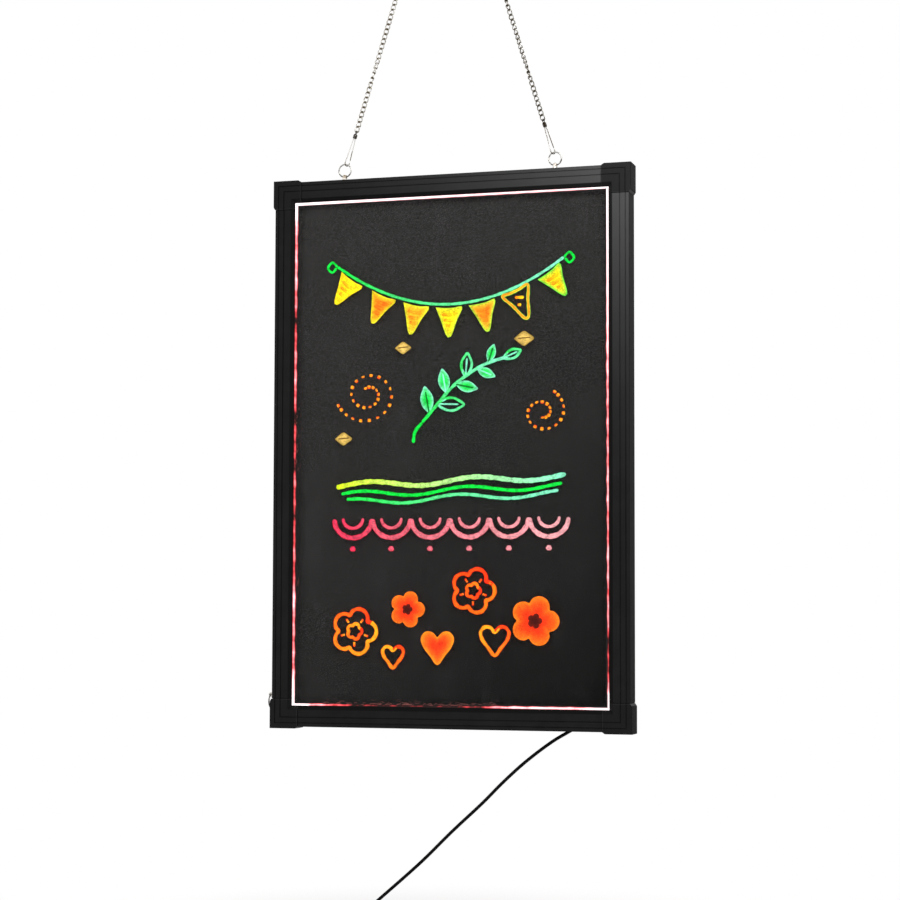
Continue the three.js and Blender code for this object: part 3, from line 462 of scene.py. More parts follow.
def plated_metal(name, bright=0.6, dark=0.05, stain=0.42, warm=0.9):
    """Plated steel wire: bright nickel with brown stains, darker still where the ink of the points
    darkens it: painted shade where links and wires meet, and a darker lower end on the sprung clip
    legs. It has fine draw scratches. In a stain, green is warm times the red, and blue 0.8 times
    warm squared times the red."""
    f = Finish(name, Metallic=1.0)
    # ink: painted shade where links and wires meet, darkening the stains further
    dark_ink = f.ink("Fac")
    stains_and_shade = f.noise(1.6, 4, 0.65) + dark_ink * 0.34 + f.noise(15, 2) * 0.5 - 0.25
    stains_and_shade = stains_and_shade.between(stain, stain + 0.2)
    scratches = f.noise(0.12, 3, 0.7)
    clean = (bright, bright * 0.97, bright * 0.92)
    brown = (dark, dark * warm, dark * warm * warm * 0.8)
    gloss = 0.2 + 0.14 * scratches + 0.16 * stains_and_shade
    return f.dress(f.blend(stains_and_shade, clean, brown), gloss, scratches, 0.004, 0.5)


def soft_rubber(name, level=17, mirror=0.4):
    """Cord and gland rubber: matt black with a fine grain and a dull bloom in patches."""
    f = Finish(name, mirror)
    fine = f.noise(0.6, 3, 0.6)
    bloom = f.noise(9, 4, 0.6).between(0.45, 0.75)
    colour = f.blend(bloom, grey(level), grey(level + 12))
    return f.dress(colour, 0.5 + 0.2 * bloom + 0.08 * fine, fine, 0.02, 0.5)


def woven_strap():
    """Black woven strap: the product of two sines, threads 0.5 mm apart along X and 0.6 mm apart
    across them, fluffed and dusty in places."""
    f = Finish("woven_strap", 0.2)
    x, y, z = f.axes()
    threads = (x * (2 * math.pi / (0.5 * mm))).sine()
    rows = ((y + z) * (2 * math.pi / (0.6 * mm))).sine()
    weave = threads * rows * 0.5 + 0.5
    fluff = f.noise(1.5, 5, 0.7)
    colour = f.blend(weave * 0.5 + fluff * 0.4, grey(14), grey(40))
    return f.dress(colour, 0.75 + 0.2 * fluff, weave, 0.08, 0.7)


def clear_pane():
    """Clear acrylic over the dark sheet: nearly all see-through, with faint wipe smears."""
    f = Finish("clear_pane", 0.05, Alpha=0.12)
    wipes = f.noise(18, 4, 0.6, (1, 1, 3), 0.6).between(0.52, 0.8)
    return f.dress(f.blend(wipes, grey(30), grey(70)), 0.1 + 0.2 * wipes)


def printed_sheet():
    """Dark sheet behind the pane: flecks and a very fine grain, stronger where it is paler. Painted
    shade darkens it towards the bottom, most of all at the lower right."""
    f = Finish("dark_sheet", 0.04, Roughness=0.75)
    grain = f.noise(0.7, 2, 0.7)
    flecks = f.noise(2.2, 2, 0.8)
    clouds = f.noise(90, 2)
    right, rise = board_shares(f)
    # shade: painted shade, darker towards the bottom and most at the lower right
    shade = 1 - (1 - rise) * (0.38 + 0.64 * right)
    speckle = (flecks - 0.5) * (0.35 + 1.25 * shade) + grain * 0.2
    colour = f.blend(shade * 0.59 + speckle + clouds * 0.1 - 0.11, grey(0), grey(80, 1))
    return f.dress(colour, None, grain, 0.02, 0.35)


def hard_board():
    """Dark fibre back board: short fibres in every direction, and scuffs."""
    f = Finish("fibre_back", 0.3)
    fibres = f.noise(0.8, 5, 0.75, (4, 1, 1)) * 0.5 + f.noise(0.8, 5, 0.75, (1, 1, 4)) * 0.5
    scuffs = f.noise(30, 6, 0.7, (1, 1, 2)).between(0.58, 0.75)
    colour = f.blend(fibres * 0.7 + scuffs * 0.4, grey(20), grey(48, 3))
    return f.dress(colour, 0.72 + 0.14 * fibres - 0.1 * scuffs, fibres, 0.06, 0.6)


def light_strip():
    """The strip of lamps in the rail's slot: white board with warm lamps every 8 mm."""
    f = Finish("lamp_strip", Roughness=0.5)
    x, _, z = f.axes()
    lamps = ((x + z) / (8 * mm)).fraction().between(0.35, 0.6)
    return f.dress(f.blend(lamps, srgb(235, 230, 215), srgb(250, 226, 120)))


def circuit_board():
    """Green circuit board: copper lines under the lacquer, on a 2.5 mm pitch."""
    f = Finish("circuit_green", Roughness=0.4)
    x = f.axes()[0]
    lines = (x / (2.5 * mm)).fraction().between(0.78, 0.86)
    patches = f.noise(5, 3).between(0.5, 0.56)
    return f.dress(f.blend(lines * patches, srgb(22, 74, 48), srgb(66, 120, 70)))


finishes = {
    "black_aluminium": drawn_metal("rail_black_upright", "Z"),
    "black_plastic": moulded_plastic(),
    "clear_acrylic": clear_pane(),
    "black_sheet": printed_sheet(),
    "back_board": hard_board(),
    "led_strip": light_strip(),
    "nickel": plated_metal("nickel_plate", stain=0.5),
    "dark_nickel": plated_metal("dark_plate", 0.14, 0.024, 0.38, 0.64),
    "circuit": circuit_board(),
    "black_rubber": soft_rubber("rubber_black"),
}
stud_plate = plated_metal("stud_plate", 0.64, 0.24, 0.45, 0.74)
housing = housing_plastic()
# side ring plate: brown stains, made darker still as painted shade
stained_and_shaded_plate = plated_metal("stained_and_shaded_plate", 0.3, 0.03, 0.32, 0.64)
ring_plate = plated_metal("ring_plate", 0.52, 0.06, 0.43, 0.84)
level_rail = drawn_metal("rail_black_level", "X")
# One chain plate in two copies: painted light on the left side, painted shade on the right
lit_and_shaded_chain_plate = {
    "left": plated_metal("chain_plate_left", 0.66, 0.16, 0.48, 0.8),
    "right": plated_metal("chain_plate_right", 0.54, 0.09, 0.41, 0.8),
}

# Camera

def aimed(name, data, place, along, roll=0):
    """A camera or lamp at a place that looks along a direction, rolled about it by degrees."""
    obj = new_object(name, data)
    obj.location = place
    obj.rotation_mode = "QUATERNION"
    turn = Quaternion((0, 0, 1), math.radians(roll))
    obj.rotation_quaternion = along.to_track_quat("-Z", "Y") @ turn
    return obj


def make_camera():
    """Places the camera on a sphere round the aimed point and turns it to look there."""
    azimuth, rise = math.radians(view_azimuth), math.radians(view_rise)
    level = math.cos(rise)
    back = Vector((math.sin(azimuth) * level, -math.cos(azimuth) * level, math.sin(rise)))
    data = bpy.data.cameras.new("studio_camera")
    data.sensor_width, data.lens, data.shift_y = 36.0, view_lens, view_shift
    bpy.context.scene.camera = aimed(
        "studio_camera", data, Vector(view_aim) + back * view_distance, -back, view_roll)


make_camera()


# Lead: free stretch and coil in one line

def coil_line():
    """The wound lead: radius steps in by one pitch a turn on one layer and out on the next, and
    the height climbs by one pitch in the half turn round each border between two layers."""
    turn = np.linspace(0, coil_turns, coil_turns * 48 + 1)
    layer = np.minimum(np.floor(turn / layer_turns), coil_turns / layer_turns - 1)
    into = turn - layer * layer_turns
    inward = np.where(layer % 2 == 0, into, layer_turns - into)
    radius = coil_radius - inward * coil_pitch
    from_border = turn[:, None] - np.arange(layer_turns, coil_turns, layer_turns)
    level = np.clip(from_border / 0.5 + 0.5, 0, 1).sum(axis=1)
    angle = math.pi / 2 + 2 * math.pi * turn
    return np.stack([
        coil_centre[0] + radius * np.cos(angle),
        coil_centre[1] + radius * np.sin(angle),
        coil_level + level * coil_pitch,
    ], axis=1)


def make_cord():
    """One tube along the free stretch, the coil and the straight run into the power supply."""
    turns = coil_line()
    free = smooth_line(np.vstack([route, [coil_centre[0] + 4 * mm, cord_y, coil_level]]), 260)
    tail = np.array([[coil_centre[0] - s * mm, cord_y, turns[-1, 2]] for s in (5, 10, 15, 20.2)])
    path = np.vstack([free, turns, tail])
    cord = Shape().surface(tube(path, cord_width / 2, 12, (0, 0, 1))).piece(
        "lead", soft_rubber("lead_rubber", 4, 0.06), "board", "black_rubber", "cord", "cord_coil")
    length = float(steps(path).sum())
    thin = np.vstack([free[::8], turns[::3], tail])
    return cord, thin, length


cord, cord_path, cord_length = make_cord()


def ribbed_boot(wide, narrow, length):
    """A strain relief's outline from its wide end to its narrow one: a plain collar, then a
    straight taper cut where a sine of five and a half waves lies under -0.25. The grooves leave
    thin rings and get shallower with the taper's depth over the lead."""
    lead, bevel, first, last = cord_width / 2, 0.3 * mm, 0.2, 0.97
    along = np.linspace(first, last, 81)
    taper = wide + (narrow - wide) * along
    groove = 0.55 * mm * (np.sin(2 * math.pi * 5.5 * (along - first) / (last - first)) < -0.25)
    body = np.column_stack([taper - groove * (taper - lead) / (wide - lead), along * length])
    return np.vstack([[(bevel, 0), (wide - bevel, 0), (wide, bevel), (wide, 0.15 * length)],
                      body, [(narrow * 0.95, length), (lead, length)]])


def make_strain_reliefs():
    """Down from the control box, and from the power supply towards the coil."""
    wide, narrow = 4 * mm, 2.6 * mm
    turn = turned("X", 180, (gland_x, cord_y, box_floor - 0.3 * mm))
    collar = np.array([(0.3, -0.3), (3.9, -0.3), (3.9, -1.7), (3.6, -1.9), (0.3, -1.9)]) * mm
    neck = np.array([(2.6, 0.1), (2.6, -1.9), (0.3, -1.9)]) * mm
    box_boot = Shape()
    for outline in (ribbed_boot(wide, narrow, 13.7 * mm), collar, neck):
        box_boot.surface(placed(lathe(outline, 32), turn))

    low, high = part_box("adapter_gland")
    turn = turned("Y", 90, (low[0], cord_y, (low[2] + high[2]) / 2))
    outline = ribbed_boot(wide, narrow, high[0] - low[0])
    supply_boot = Shape().surface(placed(lathe(outline, 32), turn))
    return [boot.piece(name, finishes["black_rubber"], "board", "black_rubber", node)
            for boot, name, node in ((box_boot, "box_strain_relief", "cord_gland"),
                                     (supply_boot, "supply_strain_relief", "adapter_gland"))]


def make_tie():
    """The strap round the wound lead: a rounded four-sided loop, and its free end laid back
    over it and pressed down at its tip. A loop point is the half size times a power of the
    cosine or sine, which squares the oval off."""
    low, high = (np.array(corner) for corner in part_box("cord_tie"))
    middle, half = (low + high) / 2, (high - low) / 2
    section = np.array([(-1, 0.15), (-0.9, 0), (0.9, 0), (1, 0.15), (1, 0.85),
                        (0.9, 1), (0.3, 0.93), (-0.3, 0.93), (-0.9, 1), (-1, 0.85)])
    shape = Shape()
    for start, end, count, lift, thick in ((0, 360, 96, 0.0, 1.2), (62, 196, 44, 1.22, 0.9)):
        t = np.radians(np.linspace(start, end, count, endpoint=lift > 0))
        power = 0.42
        spot = np.stack([np.cos(t), np.sin(t)], axis=1)
        loop = np.sign(spot) * np.abs(spot) ** power * (half[1:] - 1.2 * mm)
        tip = np.clip((np.arange(count) + 1) / 5, 0, 1) if lift else 1
        outward = unit(np.sign(spot) * np.abs(spot) ** (2 - power) / (half[1:] - 1.2 * mm))
        rise = (lift + section[None, :, 1:] * thick * np.reshape(tip, (-1, 1, 1))) * mm
        flat = loop[:, None] + outward[:, None] * rise
        wide = np.broadcast_to(section[None, :, :1] * half[0], flat.shape[:2] + (1,))
        grid = np.concatenate([wide, flat], axis=2) + middle
        grid[:, :, 2] = np.maximum(grid[:, :, 2], rest_z)
        shape.surface(grid, wrap_rows=lift == 0)
    return shape.piece("lead_tie", woven_strap(), "board", "black_rubber", "cord_tie")


on_the_cord = [*make_strain_reliefs(), make_tie()]


# Chain, rings, clips and swivels

def side_matrix(direction):
    """From a side's own frame, hanging straight down from the top ring's centre, to its lean."""
    lean = math.degrees(math.atan2(hang_half, hang_drop))
    return turned("Y", -direction * lean, (0, 0, apex_z))


def link_loop(span, start, end, count=22):
    """One twisted link's wire line: an oval whose width follows a rounded sine of its angle and
    whose height follows the cosine, turned about its length from the start angle to the end."""
    t = whole_turn(count)
    wide = (link_width - link_wire) / 2 * np.sign(np.sin(t)) * np.abs(np.sin(t)) ** 0.8
    high = span / 2 * np.sign(np.cos(t)) * np.abs(np.cos(t)) ** 0.8
    twist = np.radians(start + (end - start) * (0.5 - high / span))
    line = np.stack([wide * np.cos(twist), wide * np.sin(twist), high], axis=1)
    across = np.stack([-np.sin(twist), np.cos(twist), np.zeros(count)], axis=1)
    return line, across


def make_chain(name, direction):
    """The whole side of the chain: the same link repeated down its length, the first one cut
    straight where it meets the plain link of the ring. The chain has turned on itself: each
    link's turn is a mean plus a slow sine, faded out over seven links at both ends, and half a
    turn more, eased in over twelve links, past each place where the chain has flipped over."""
    shape = Shape()
    matrix = side_matrix(direction)
    mean, sway, flips = (6, 9, (51,)) if name == "left" else (-24, 14, (37, 52))
    number = np.arange(link_count)
    faded = np.clip(np.minimum(number, link_count - 1 - number) / 7, 0, 1)
    turns = faded * (mean + sway * np.sin(0.37 * number + direction))
    for flip in flips:
        eased = np.clip((number - flip) / 12 + 0.5, 0, 1)
        turns = turns - 180 * eased ** 2 * (3 - 2 * eased)
    for k in range(link_count):
        line, across = link_loop(link_span, -link_twist if k else 0, link_twist)
        centre = chain_start + link_span / 2 + k * link_step
        grid = tube(line, link_wire / 2, 8, across, closed=True)
        # painted shade at each link's ends, where it hangs in the next link
        dark_ink = np.clip(np.abs(grid[:, :, 2:]) / (link_span / 2) * 2.6 - 1.5, 0, 1)
        place = matrix @ turned("Z", turns[k], (0, 0, -centre))
        shape.surface(placed(grid, place), wrap_rows=True, ink=dark_ink)
    return shape.piece(
        f"curb_chain_{name}", lit_and_shaded_chain_plate[name], "suspension", "nickel", f"chain_{name}")


def make_apex_link(name, direction):
    """The plain link through the top ring, turned square to the ring's wire."""
    line, across = link_loop(apex_end - apex_start, 90, 90, 28)
    grid = tube(line, link_wire / 2, 10, across, closed=True)
    place = side_matrix(direction) @ turned("Z", 0, (0, 0, -(apex_start + apex_end) / 2))
    return Shape().surface(placed(grid, place), wrap_rows=True).piece(
        f"top_link_{name}", finishes["nickel"], "apex_links", "nickel", f"apex_link_{name}")


def circle(radius, count):
    """Points of a circle in the XZ plane."""
    t = whole_turn(count)
    return np.stack([radius * np.cos(t), np.zeros(count), radius * np.sin(t)], axis=1)


def make_ring(name, body, matrix, node, finish=finishes["nickel"]):
    """A split ring: its wire is a circle, with a fine saw cut left where its ends meet."""
    grid = tube(circle(ring_radius, 72), ring_wire / 2, 14, (0, 1, 0), closed=True)
    cut = circle(ring_radius, 720)[178:183]
    groove = tube(cut, ring_wire / 2 + 0.03 * mm, 14, (0, 1, 0))
    shape = Shape().surface(placed(grid, matrix), wrap_rows=True)
    return shape.surface(placed(groove, matrix)).piece(name, finish, body, "nickel", node)


def make_clip_wire(kind, name, direction, body, points, count, darkening, fade):
    """One drawn wire of a clip, in the clip's own frame: X across, Z up from the lowest wire
    centre of its bend. It narrows over its last points, and its darkening ink falls from a start
    with height over the length fade: painted shade at the bend and hook, where the wire wraps the
    ring, and a darker lower end on the sprung leg."""
    start, strength = darkening
    line = smooth_line(np.array([(x, 0, z) for x, z in points]) * mm, count)
    wire = clip_wire / 2 * np.minimum(1, 0.35 + np.arange(count)[::-1] / 4)
    leg = tube(line, wire, 12, (0, 1, 0))
    # darker towards the bottom: painted shade at the bend and hook round the ring
    dark_ink = np.clip(start - leg[:, :, 2:] / fade, 0, 1) * strength
    place = side_matrix(direction) @ turned("Z", link_twist, (0, 0, -clip_bottom))
    Shape().surface(placed(leg, place), ink=dark_ink).piece(
        f"{kind}_wire_{name}", lit_and_shaded_chain_plate[name], body, "nickel", f"{kind}_{name}")


def make_clip(name, direction):
    """The fixed leg, with the shank, the bend round the ring and the hook, and then the sprung
    leg, from the barrel down to just above the hook's tip."""
    low, high, top = 2.5, 1.3, clip_length / mm
    bend = (low * 0.7071, low * 0.2929)
    make_clip_wire("clip", name, direction, "suspension", (
        (-0.78, top + 2), (-0.78, top), (-high, top - 3), (-1.9, top / 2), (-low, low),
        (-bend[0], bend[1]), (0, 0), bend, (low, low), (low, 5.4)), 72, (1.6, 1.3), 3.2 * mm)
    make_clip_wire("gate", name, direction, f"{name}_clip_leg", (
        (0.78, 32.7), (0.78, 31.5), (1.3, 28.5), (1.9, 15.8), (2.5, 6.2)), 40, (1.9, 1.1), 11 * mm)


def make_swivel(name, direction):
    """The turned barrel: a lathe profile with two scribed rings and a rolled lower lip round
    its bore, and the chain's eye on top."""
    profile = [(1.62, 2.8), (1.62, 0.25), (1.75, 0.04), (1.95, 0.04), (2.16, 0.35), (2.2, 0.7),
               (2.2, 1.1), (2.08, 1.25), (2.2, 1.4), (2.2, 3.5), (2.08, 3.65), (2.2, 3.8),
               (2.14, 4.3), (1.85, 4.75), (1.4, 4.95), (0.6, 5.0)]
    barrel = lathe(np.array(profile) * mm, 28)
    eye = tube(circle(eye_radius, 32), clip_wire / 2, 10, (0, 1, 0), closed=True)
    eye = eye + (0, 0, barrel_length + eye_rise)
    matrix = side_matrix(direction) @ turned("Z", -link_twist, (0, 0, -barrel_bottom))
    shape = Shape().surface(placed(barrel, matrix)).surface(placed(eye, matrix), wrap_rows=True)
    return shape.piece(f"swivel_barrel_{name}", finishes["dark_nickel"], "suspension",
                       "dark_nickel", f"swivel_{name}")


def make_hanging_gear():
    """The top ring, both sides of the hanging with their board rings, and the side ring."""
    make_ring("top_ring", "hook_ring", turned("Z", 0, (0, 0, apex_z)), "ring_top")
    for name, direction in (("left", -1), ("right", 1)):
        make_apex_link(name, direction)
        make_chain(name, direction)
        make_clip(name, direction)
        make_swivel(name, direction)
        lean = turned("Y", 40 * direction, (direction * hang_half, 0, apex_z - hang_drop))
        make_ring(f"hang_ring_{name}", "suspension", lean, f"ring_{name}", ring_plate)
    low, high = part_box("ring_side")
    middle = [(a + b) / 2 for a, b in zip(low, high)]
    make_ring("side_ring", "side_ring", turned("Z", 90, middle), "ring_side", stained_and_shaded_plate)


make_hanging_gear()


# Glow strips and drawing on the pane

def bright_ink(name, glow, streak=1.0):
    """Marker paint lit from the pane's edge: the ink of the points, with lengthwise streaks where
    the nib ran dry, darker specks, and light of its own colour."""
    f = Finish(name, 0.12, Roughness=0.55, Emission_Strength=glow)
    ink = f.ink("Color")
    streaks = f.noise(1.1, 4, 0.7, (1.6, 1, 1)).between(0.4, 0.6)
    patches = f.noise(5.5, 3, 0.5).between(0.35, 0.65)
    deep = f.blend(0.42, (0.0, 0.0, 0.0), ink)
    worn = f.blend(streaks * 0.5 + patches * 0.45, ink, deep)
    shade = f.blend(streak, ink, worn)
    f.link("Emission Color", shade)
    return f.dress(shade, None, streaks, 0.08, 0.5)


marker_ink = bright_ink("marker_ink", 0.78)

yellow, orange, amber = srgb(250, 218, 20), srgb(250, 128, 22), srgb(255, 176, 34)
green, mint, lime = srgb(8, 214, 66), srgb(130, 222, 186), srgb(206, 226, 24)
magenta, rose, ember = srgb(214, 18, 74), srgb(222, 160, 164), srgb(244, 46, 16)
tan = srgb(222, 186, 96)


def mixed(first, second, share):
    """Colours between two colours, one for each share."""
    share = np.reshape(share, (-1, 1))
    return np.asarray(first) * (1 - share) + np.asarray(second) * share


def tint(first, second, share):
    """One colour between two colours."""
    return mixed(first, second, [share])[0]


def rotation(angle):
    """A 2 by 2 matrix that turns a column of two numbers by an angle in radians."""
    return np.array([[math.cos(angle), -math.sin(angle)], [math.sin(angle), math.cos(angle)]])


def around(place, angle, wide, high):
    """Points round a place: wide times the cosine to its right and high times the sine above."""
    return np.stack([place[0] + wide * np.cos(angle), place[1] + high * np.sin(angle)], axis=-1)


def standing(points):
    """Points of two numbers, right and up, as X and Z of points in space."""
    return np.column_stack([points[:, 0], np.zeros(len(points)), points[:, 1]])


class Drawing:
    """Flat strokes on the pane, placed in millimetres right of and above the board's middle."""

    def __init__(self):
        self.shape = Shape()
        self.layer = 0

    def stroke(self, points, width, first, last=None, rim=None, closed=False):
        """A ribbon with a domed section and round ends. Its half width wavers by slow sines, and
        its colour runs from first to last along it and turns to rim at its edges."""
        points = np.asarray(points, float)
        if closed:
            points = np.vstack([points, points[:2]])
        count = max(12, int(steps(points).sum() / 1.1))
        line = smooth_line(standing(points), count)
        run = np.linspace(0, 1, count)
        along = unit(np.gradient(line, axis=0))
        side = np.stack([-along[:, 2], np.zeros(count), along[:, 0]], axis=1)
        place = run * count * 1.1
        half = width / 2 * (1 + 0.09 * np.sin(place * 0.41 + width) + 0.06 * np.sin(place * 0.97))
        if not closed:
            from_end = np.minimum(place, place[-1] - place) / (width / 2)
            half = half * np.sqrt(np.clip(1 - (1 - np.minimum(from_end, 1)) ** 2, 0.04, 1))
        across = np.linspace(-1, 1, 7)
        grid = line[:, None] + side[:, None] * (half[:, None] * across)[:, :, None]
        return self.lay(grid, across, mixed(first, first if last is None else last, run), rim, 0.28)

    def patch(self, points, middle, colour, edge=None, dome=0.1):
        """A filled outline: rings of it shrink to its middle, and the paint is domed."""
        line = smooth_line(standing(np.vstack([points, points[:1]])), 4 * len(points) + 1)
        across = np.linspace(0, 1, 7)
        centre = np.array([middle[0], 0, middle[1]])
        grid = centre + (line - centre)[:, None] * across[:, None]
        return self.lay(grid, across, mixed(colour, colour, np.zeros(len(line))), edge, dome)

    def lay(self, grid, across, colours, rim, dome):
        """Sets a ribbon on the pane, each new one a hair higher, and colours its points: the
        ink, richer towards the edges, where less of each weaker colour comes through."""
        self.layer += 1
        height = dome * np.sqrt(1 - 0.9 * across ** 2) + 0.01 * (self.layer % 9)
        ink = np.broadcast_to(colours[:, None], grid.shape)
        share = (np.abs(across) ** 3)[None, :, None]
        deeper = ink * (ink / ink.max(axis=2, keepdims=True)) ** 0.5
        if rim is not None:
            deeper = np.asarray(rim) * np.ones_like(ink)
        ink = ink * (1 - share) + deeper * share
        x = grid[:, :, 0] * mm + board_x
        z = grid[:, :, 2] * mm + board_z
        y = pane_y - np.broadcast_to(height * mm, x.shape)
        self.shape.surface(np.stack([x, y, z], axis=2), wrap_columns=False, ink=ink)
        return self

    def piece(self, name):
        """Makes the drawing's mesh object, on the board."""
        return self.shape.piece(name, marker_ink, "board", "clear_acrylic")


def pennants():
    """A hanging garland: a string whose height is a base plus a sag times the square of the
    share of its reach, with three-cornered flags, one of them only outlined."""
    art = Drawing()
    reach, base, sag, count = 128, 158, 46, 7
    corners = np.array([(-15, 0), (-5, -1), (5, -1), (15, 0),
                        (9, -15), (1.5, -33), (-1.5, -33), (-9, -15)])
    for k in range(count):
        middle = -111 + 37 * k
        top = np.array([middle, base + sag * (middle / reach) ** 2 - 3])
        turn = rotation(0.00562 * middle).T
        outline, centre = corners @ turn + top, np.array([0, -12]) @ turn + top
        colour = (yellow, orange, amber)[k % 3]
        if k == 5:
            art.stroke(outline, 3.6, colour, orange, green, closed=True)
            for half, level in ((5, 3), (2, -5)):
                art.stroke([centre + (-half, level), centre + (half, level)], 3.2, orange, yellow)
        else:
            art.patch(outline, centre, colour, tint(yellow, green, (k + 0.5) / count))
            for row, half in ((4, 8), (-2, 6), (-8, 3.6)):
                hatch = np.array([(-half, row), (0, row - 0.8), (half, row)]) @ turn + centre
                art.stroke(hatch, 3.4, tint(colour, orange, 0.8), colour)
    x = np.linspace(-reach, reach, 15)
    art.stroke(np.column_stack([x, base + sag * (x / reach) ** 2]), 3, green, mint)
    eyelet = np.array([(128, 204), (134, 209), (139, 203), (134, 198), (129, 203)])
    for end in (-1, 1):
        art.stroke(eyelet * (end, 1), 2.6, green)
    return art.piece("drawing_garland")


def sprig():
    """A leafy branch: one bent stem with leaves on both sides, every third one only outlined."""
    art = Drawing()
    stem = np.array([(-30, 30), (-14, 48), (2, 66), (20, 80), (42, 92), (66, 99)])
    line = smooth_line(standing(stem), 60)[:, [0, 2]]
    shares = np.array([(0.0, 0), (0.3, 0.2), (0.6, 0.23), (0.86, 0.11),
                       (1.0, 0), (0.86, -0.11), (0.6, -0.23), (0.3, -0.2)])
    for k, spot in enumerate((6, 13, 20, 27, 34, 41, 48, 57)):
        ahead = unit(line[min(spot + 1, 59)] - line[spot - 1])
        side = -1 if k % 2 else 1
        way = rotation(math.radians(52 * side if k < 7 else 8)) @ ahead
        across = np.array([-way[1], way[0]])
        size = 31 - 1.6 * k
        leaf = line[spot] + size * (shares[:, :1] * way + shares[:, 1:] * across)
        if k % 3 == 1:
            art.stroke(leaf, 2.8, green, mint, closed=True)
        else:
            art.patch(leaf, line[spot] + 0.5 * size * way, green, mint)
        vein = mint if k % 3 else srgb(10, 120, 40)
        art.stroke([line[spot], line[spot] + 0.8 * size * way], 1.9, vein)
    art.stroke(stem, 3.6, green, mint)
    art.stroke([(-30, 30), (-38, 20), (-40, 8)], 3.6, green)
    return art.piece("drawing_sprig")


def dots():
    """Two dotted lines that wind inward, and three tan diamonds."""
    art = Drawing()
    for place, reach, turns, start, way in (
        ((-92, 62), 33, 1.75, 200, 1), ((104, 38), 25, 1.4, 60, -1),
    ):
        share = np.linspace(0, 1, int(reach * 0.9))
        radius = reach * (1 - 0.78 * share)
        angle = np.radians(start) + way * 2 * math.pi * turns * share ** 1.25
        for k, spot in enumerate(around(place, angle, 1.1 * radius, radius)):
            half = 1.5 + 0.4 * math.sin(k * 1.7)
            step = around((0, 0), angle[k], half, half)
            art.stroke([spot - step, spot, spot + step], 3.5, orange if k % 3 else ember, amber)
    corners = np.array([(-1.25, 0), (-0.6, 0.55), (0, 0.9), (0.6, 0.55),
                        (1.25, 0), (0.6, -0.55), (0, -0.9), (-0.6, -0.55)])
    for place, size in (((84, 118), 9), ((-52, 112), 7.5), ((-120, 14), 8)):
        place, half = np.array(place), size * 0.8
        art.patch(corners * size + place, place, tan, srgb(150, 120, 50))
        art.stroke([place - (half, 0), place + (half, 1)], 1.4, srgb(120, 88, 36))
    return art.piece("drawing_dots")


def waves():
    """Three loose wavy lines, and under them a row of scallops that fades from left to right."""
    art = Drawing()
    for k, (level, first, last, width) in enumerate((
        (-34, lime, mint, 5.2), (-44, green, green, 3.6), (-52, green, mint, 3.6),
    )):
        x = np.linspace(-128 + 6 * k, 130 - 4 * k, 18)
        z = level + 3.4 * np.sin(x / 19 + 0.5 * k) + 0.03 * x
        art.stroke(np.column_stack([x, z]), width, first, last)
    angle = np.linspace(math.pi, 2 * math.pi, 9)
    for k in range(6):
        middle = -108.5 + 44 * k
        first, last = (tint(magenta, rose, share) for share in ((k + 0.5) / 6, (k + 0.5) / 6 + 0.1))
        for radius, level, width in ((21.5, -74, 5.2), (11.5, -73, 3.6)):
            art.stroke(around((middle, level), angle, radius, 0.95 * radius), width, first, last)
        art.stroke([(middle - 1, -104.5), (middle, -106.5), (middle + 1, -104.5)], 6, first)
    return art.piece("drawing_waves")


def blossoms():
    """Five-petalled flowers and hearts, some filled and some outlined. A flower's radius is its
    size times 0.72 plus 0.28 times a power of the cosine of two and a half times the angle."""
    art = Drawing()
    lean = 0.3
    angle = np.linspace(0, 2 * math.pi, 41)[:-1] + lean
    petals = 0.72 + 0.28 * np.abs(np.cos(2.5 * angle)) ** 0.8
    for place, size, filled, first, last in (
        ((-106, -196), 25, False, ember, amber), ((-46, -172), 20, True, ember, ember),
        ((28, -152), 24, False, ember, orange), ((96, -184), 27, True, ember, ember),
    ):
        outline = around(place, angle, size * petals, size * petals)
        centre = outline * 0.34 + np.array(place) * 0.66
        if filled:
            art.patch(outline, place, first, tint(first, amber, 0.4))
            art.patch(centre, place, srgb(64, 12, 6), srgb(120, 28, 10), 0.35)
        else:
            art.stroke(outline, 4.2, first, last, closed=True)
            art.stroke(centre, 3.6, last, first, closed=True)
            for k in range(5):
                between = lean + k * 1.2566 + 0.6283
                ends = [around(place, between, size * far, size * far) for far in (0.46, 0.66)]
                art.stroke(ends, 2.4, last, first)
    right = np.array([(0.3, 0.92), (0.7, 0.95), (0.98, 0.6),
                      (0.86, 0.12), (0.45, -0.42), (0.06, -0.92)])
    heart = np.vstack([[(0, 0.62)], right, right[::-1] * (-1, 1)])
    for place, size, filled in (
        ((-12, -214), 19, True), ((52, -206), 16, False), ((-62, -224), 12, False),
    ):
        outline = heart * size + place
        if filled:
            art.patch(outline, (place[0], place[1] + 2), srgb(246, 56, 18), tint(ember, amber, 0.6))
        else:
            art.stroke(outline, 3.8, ember, amber, closed=True)
    return art.piece("drawing_blossoms")


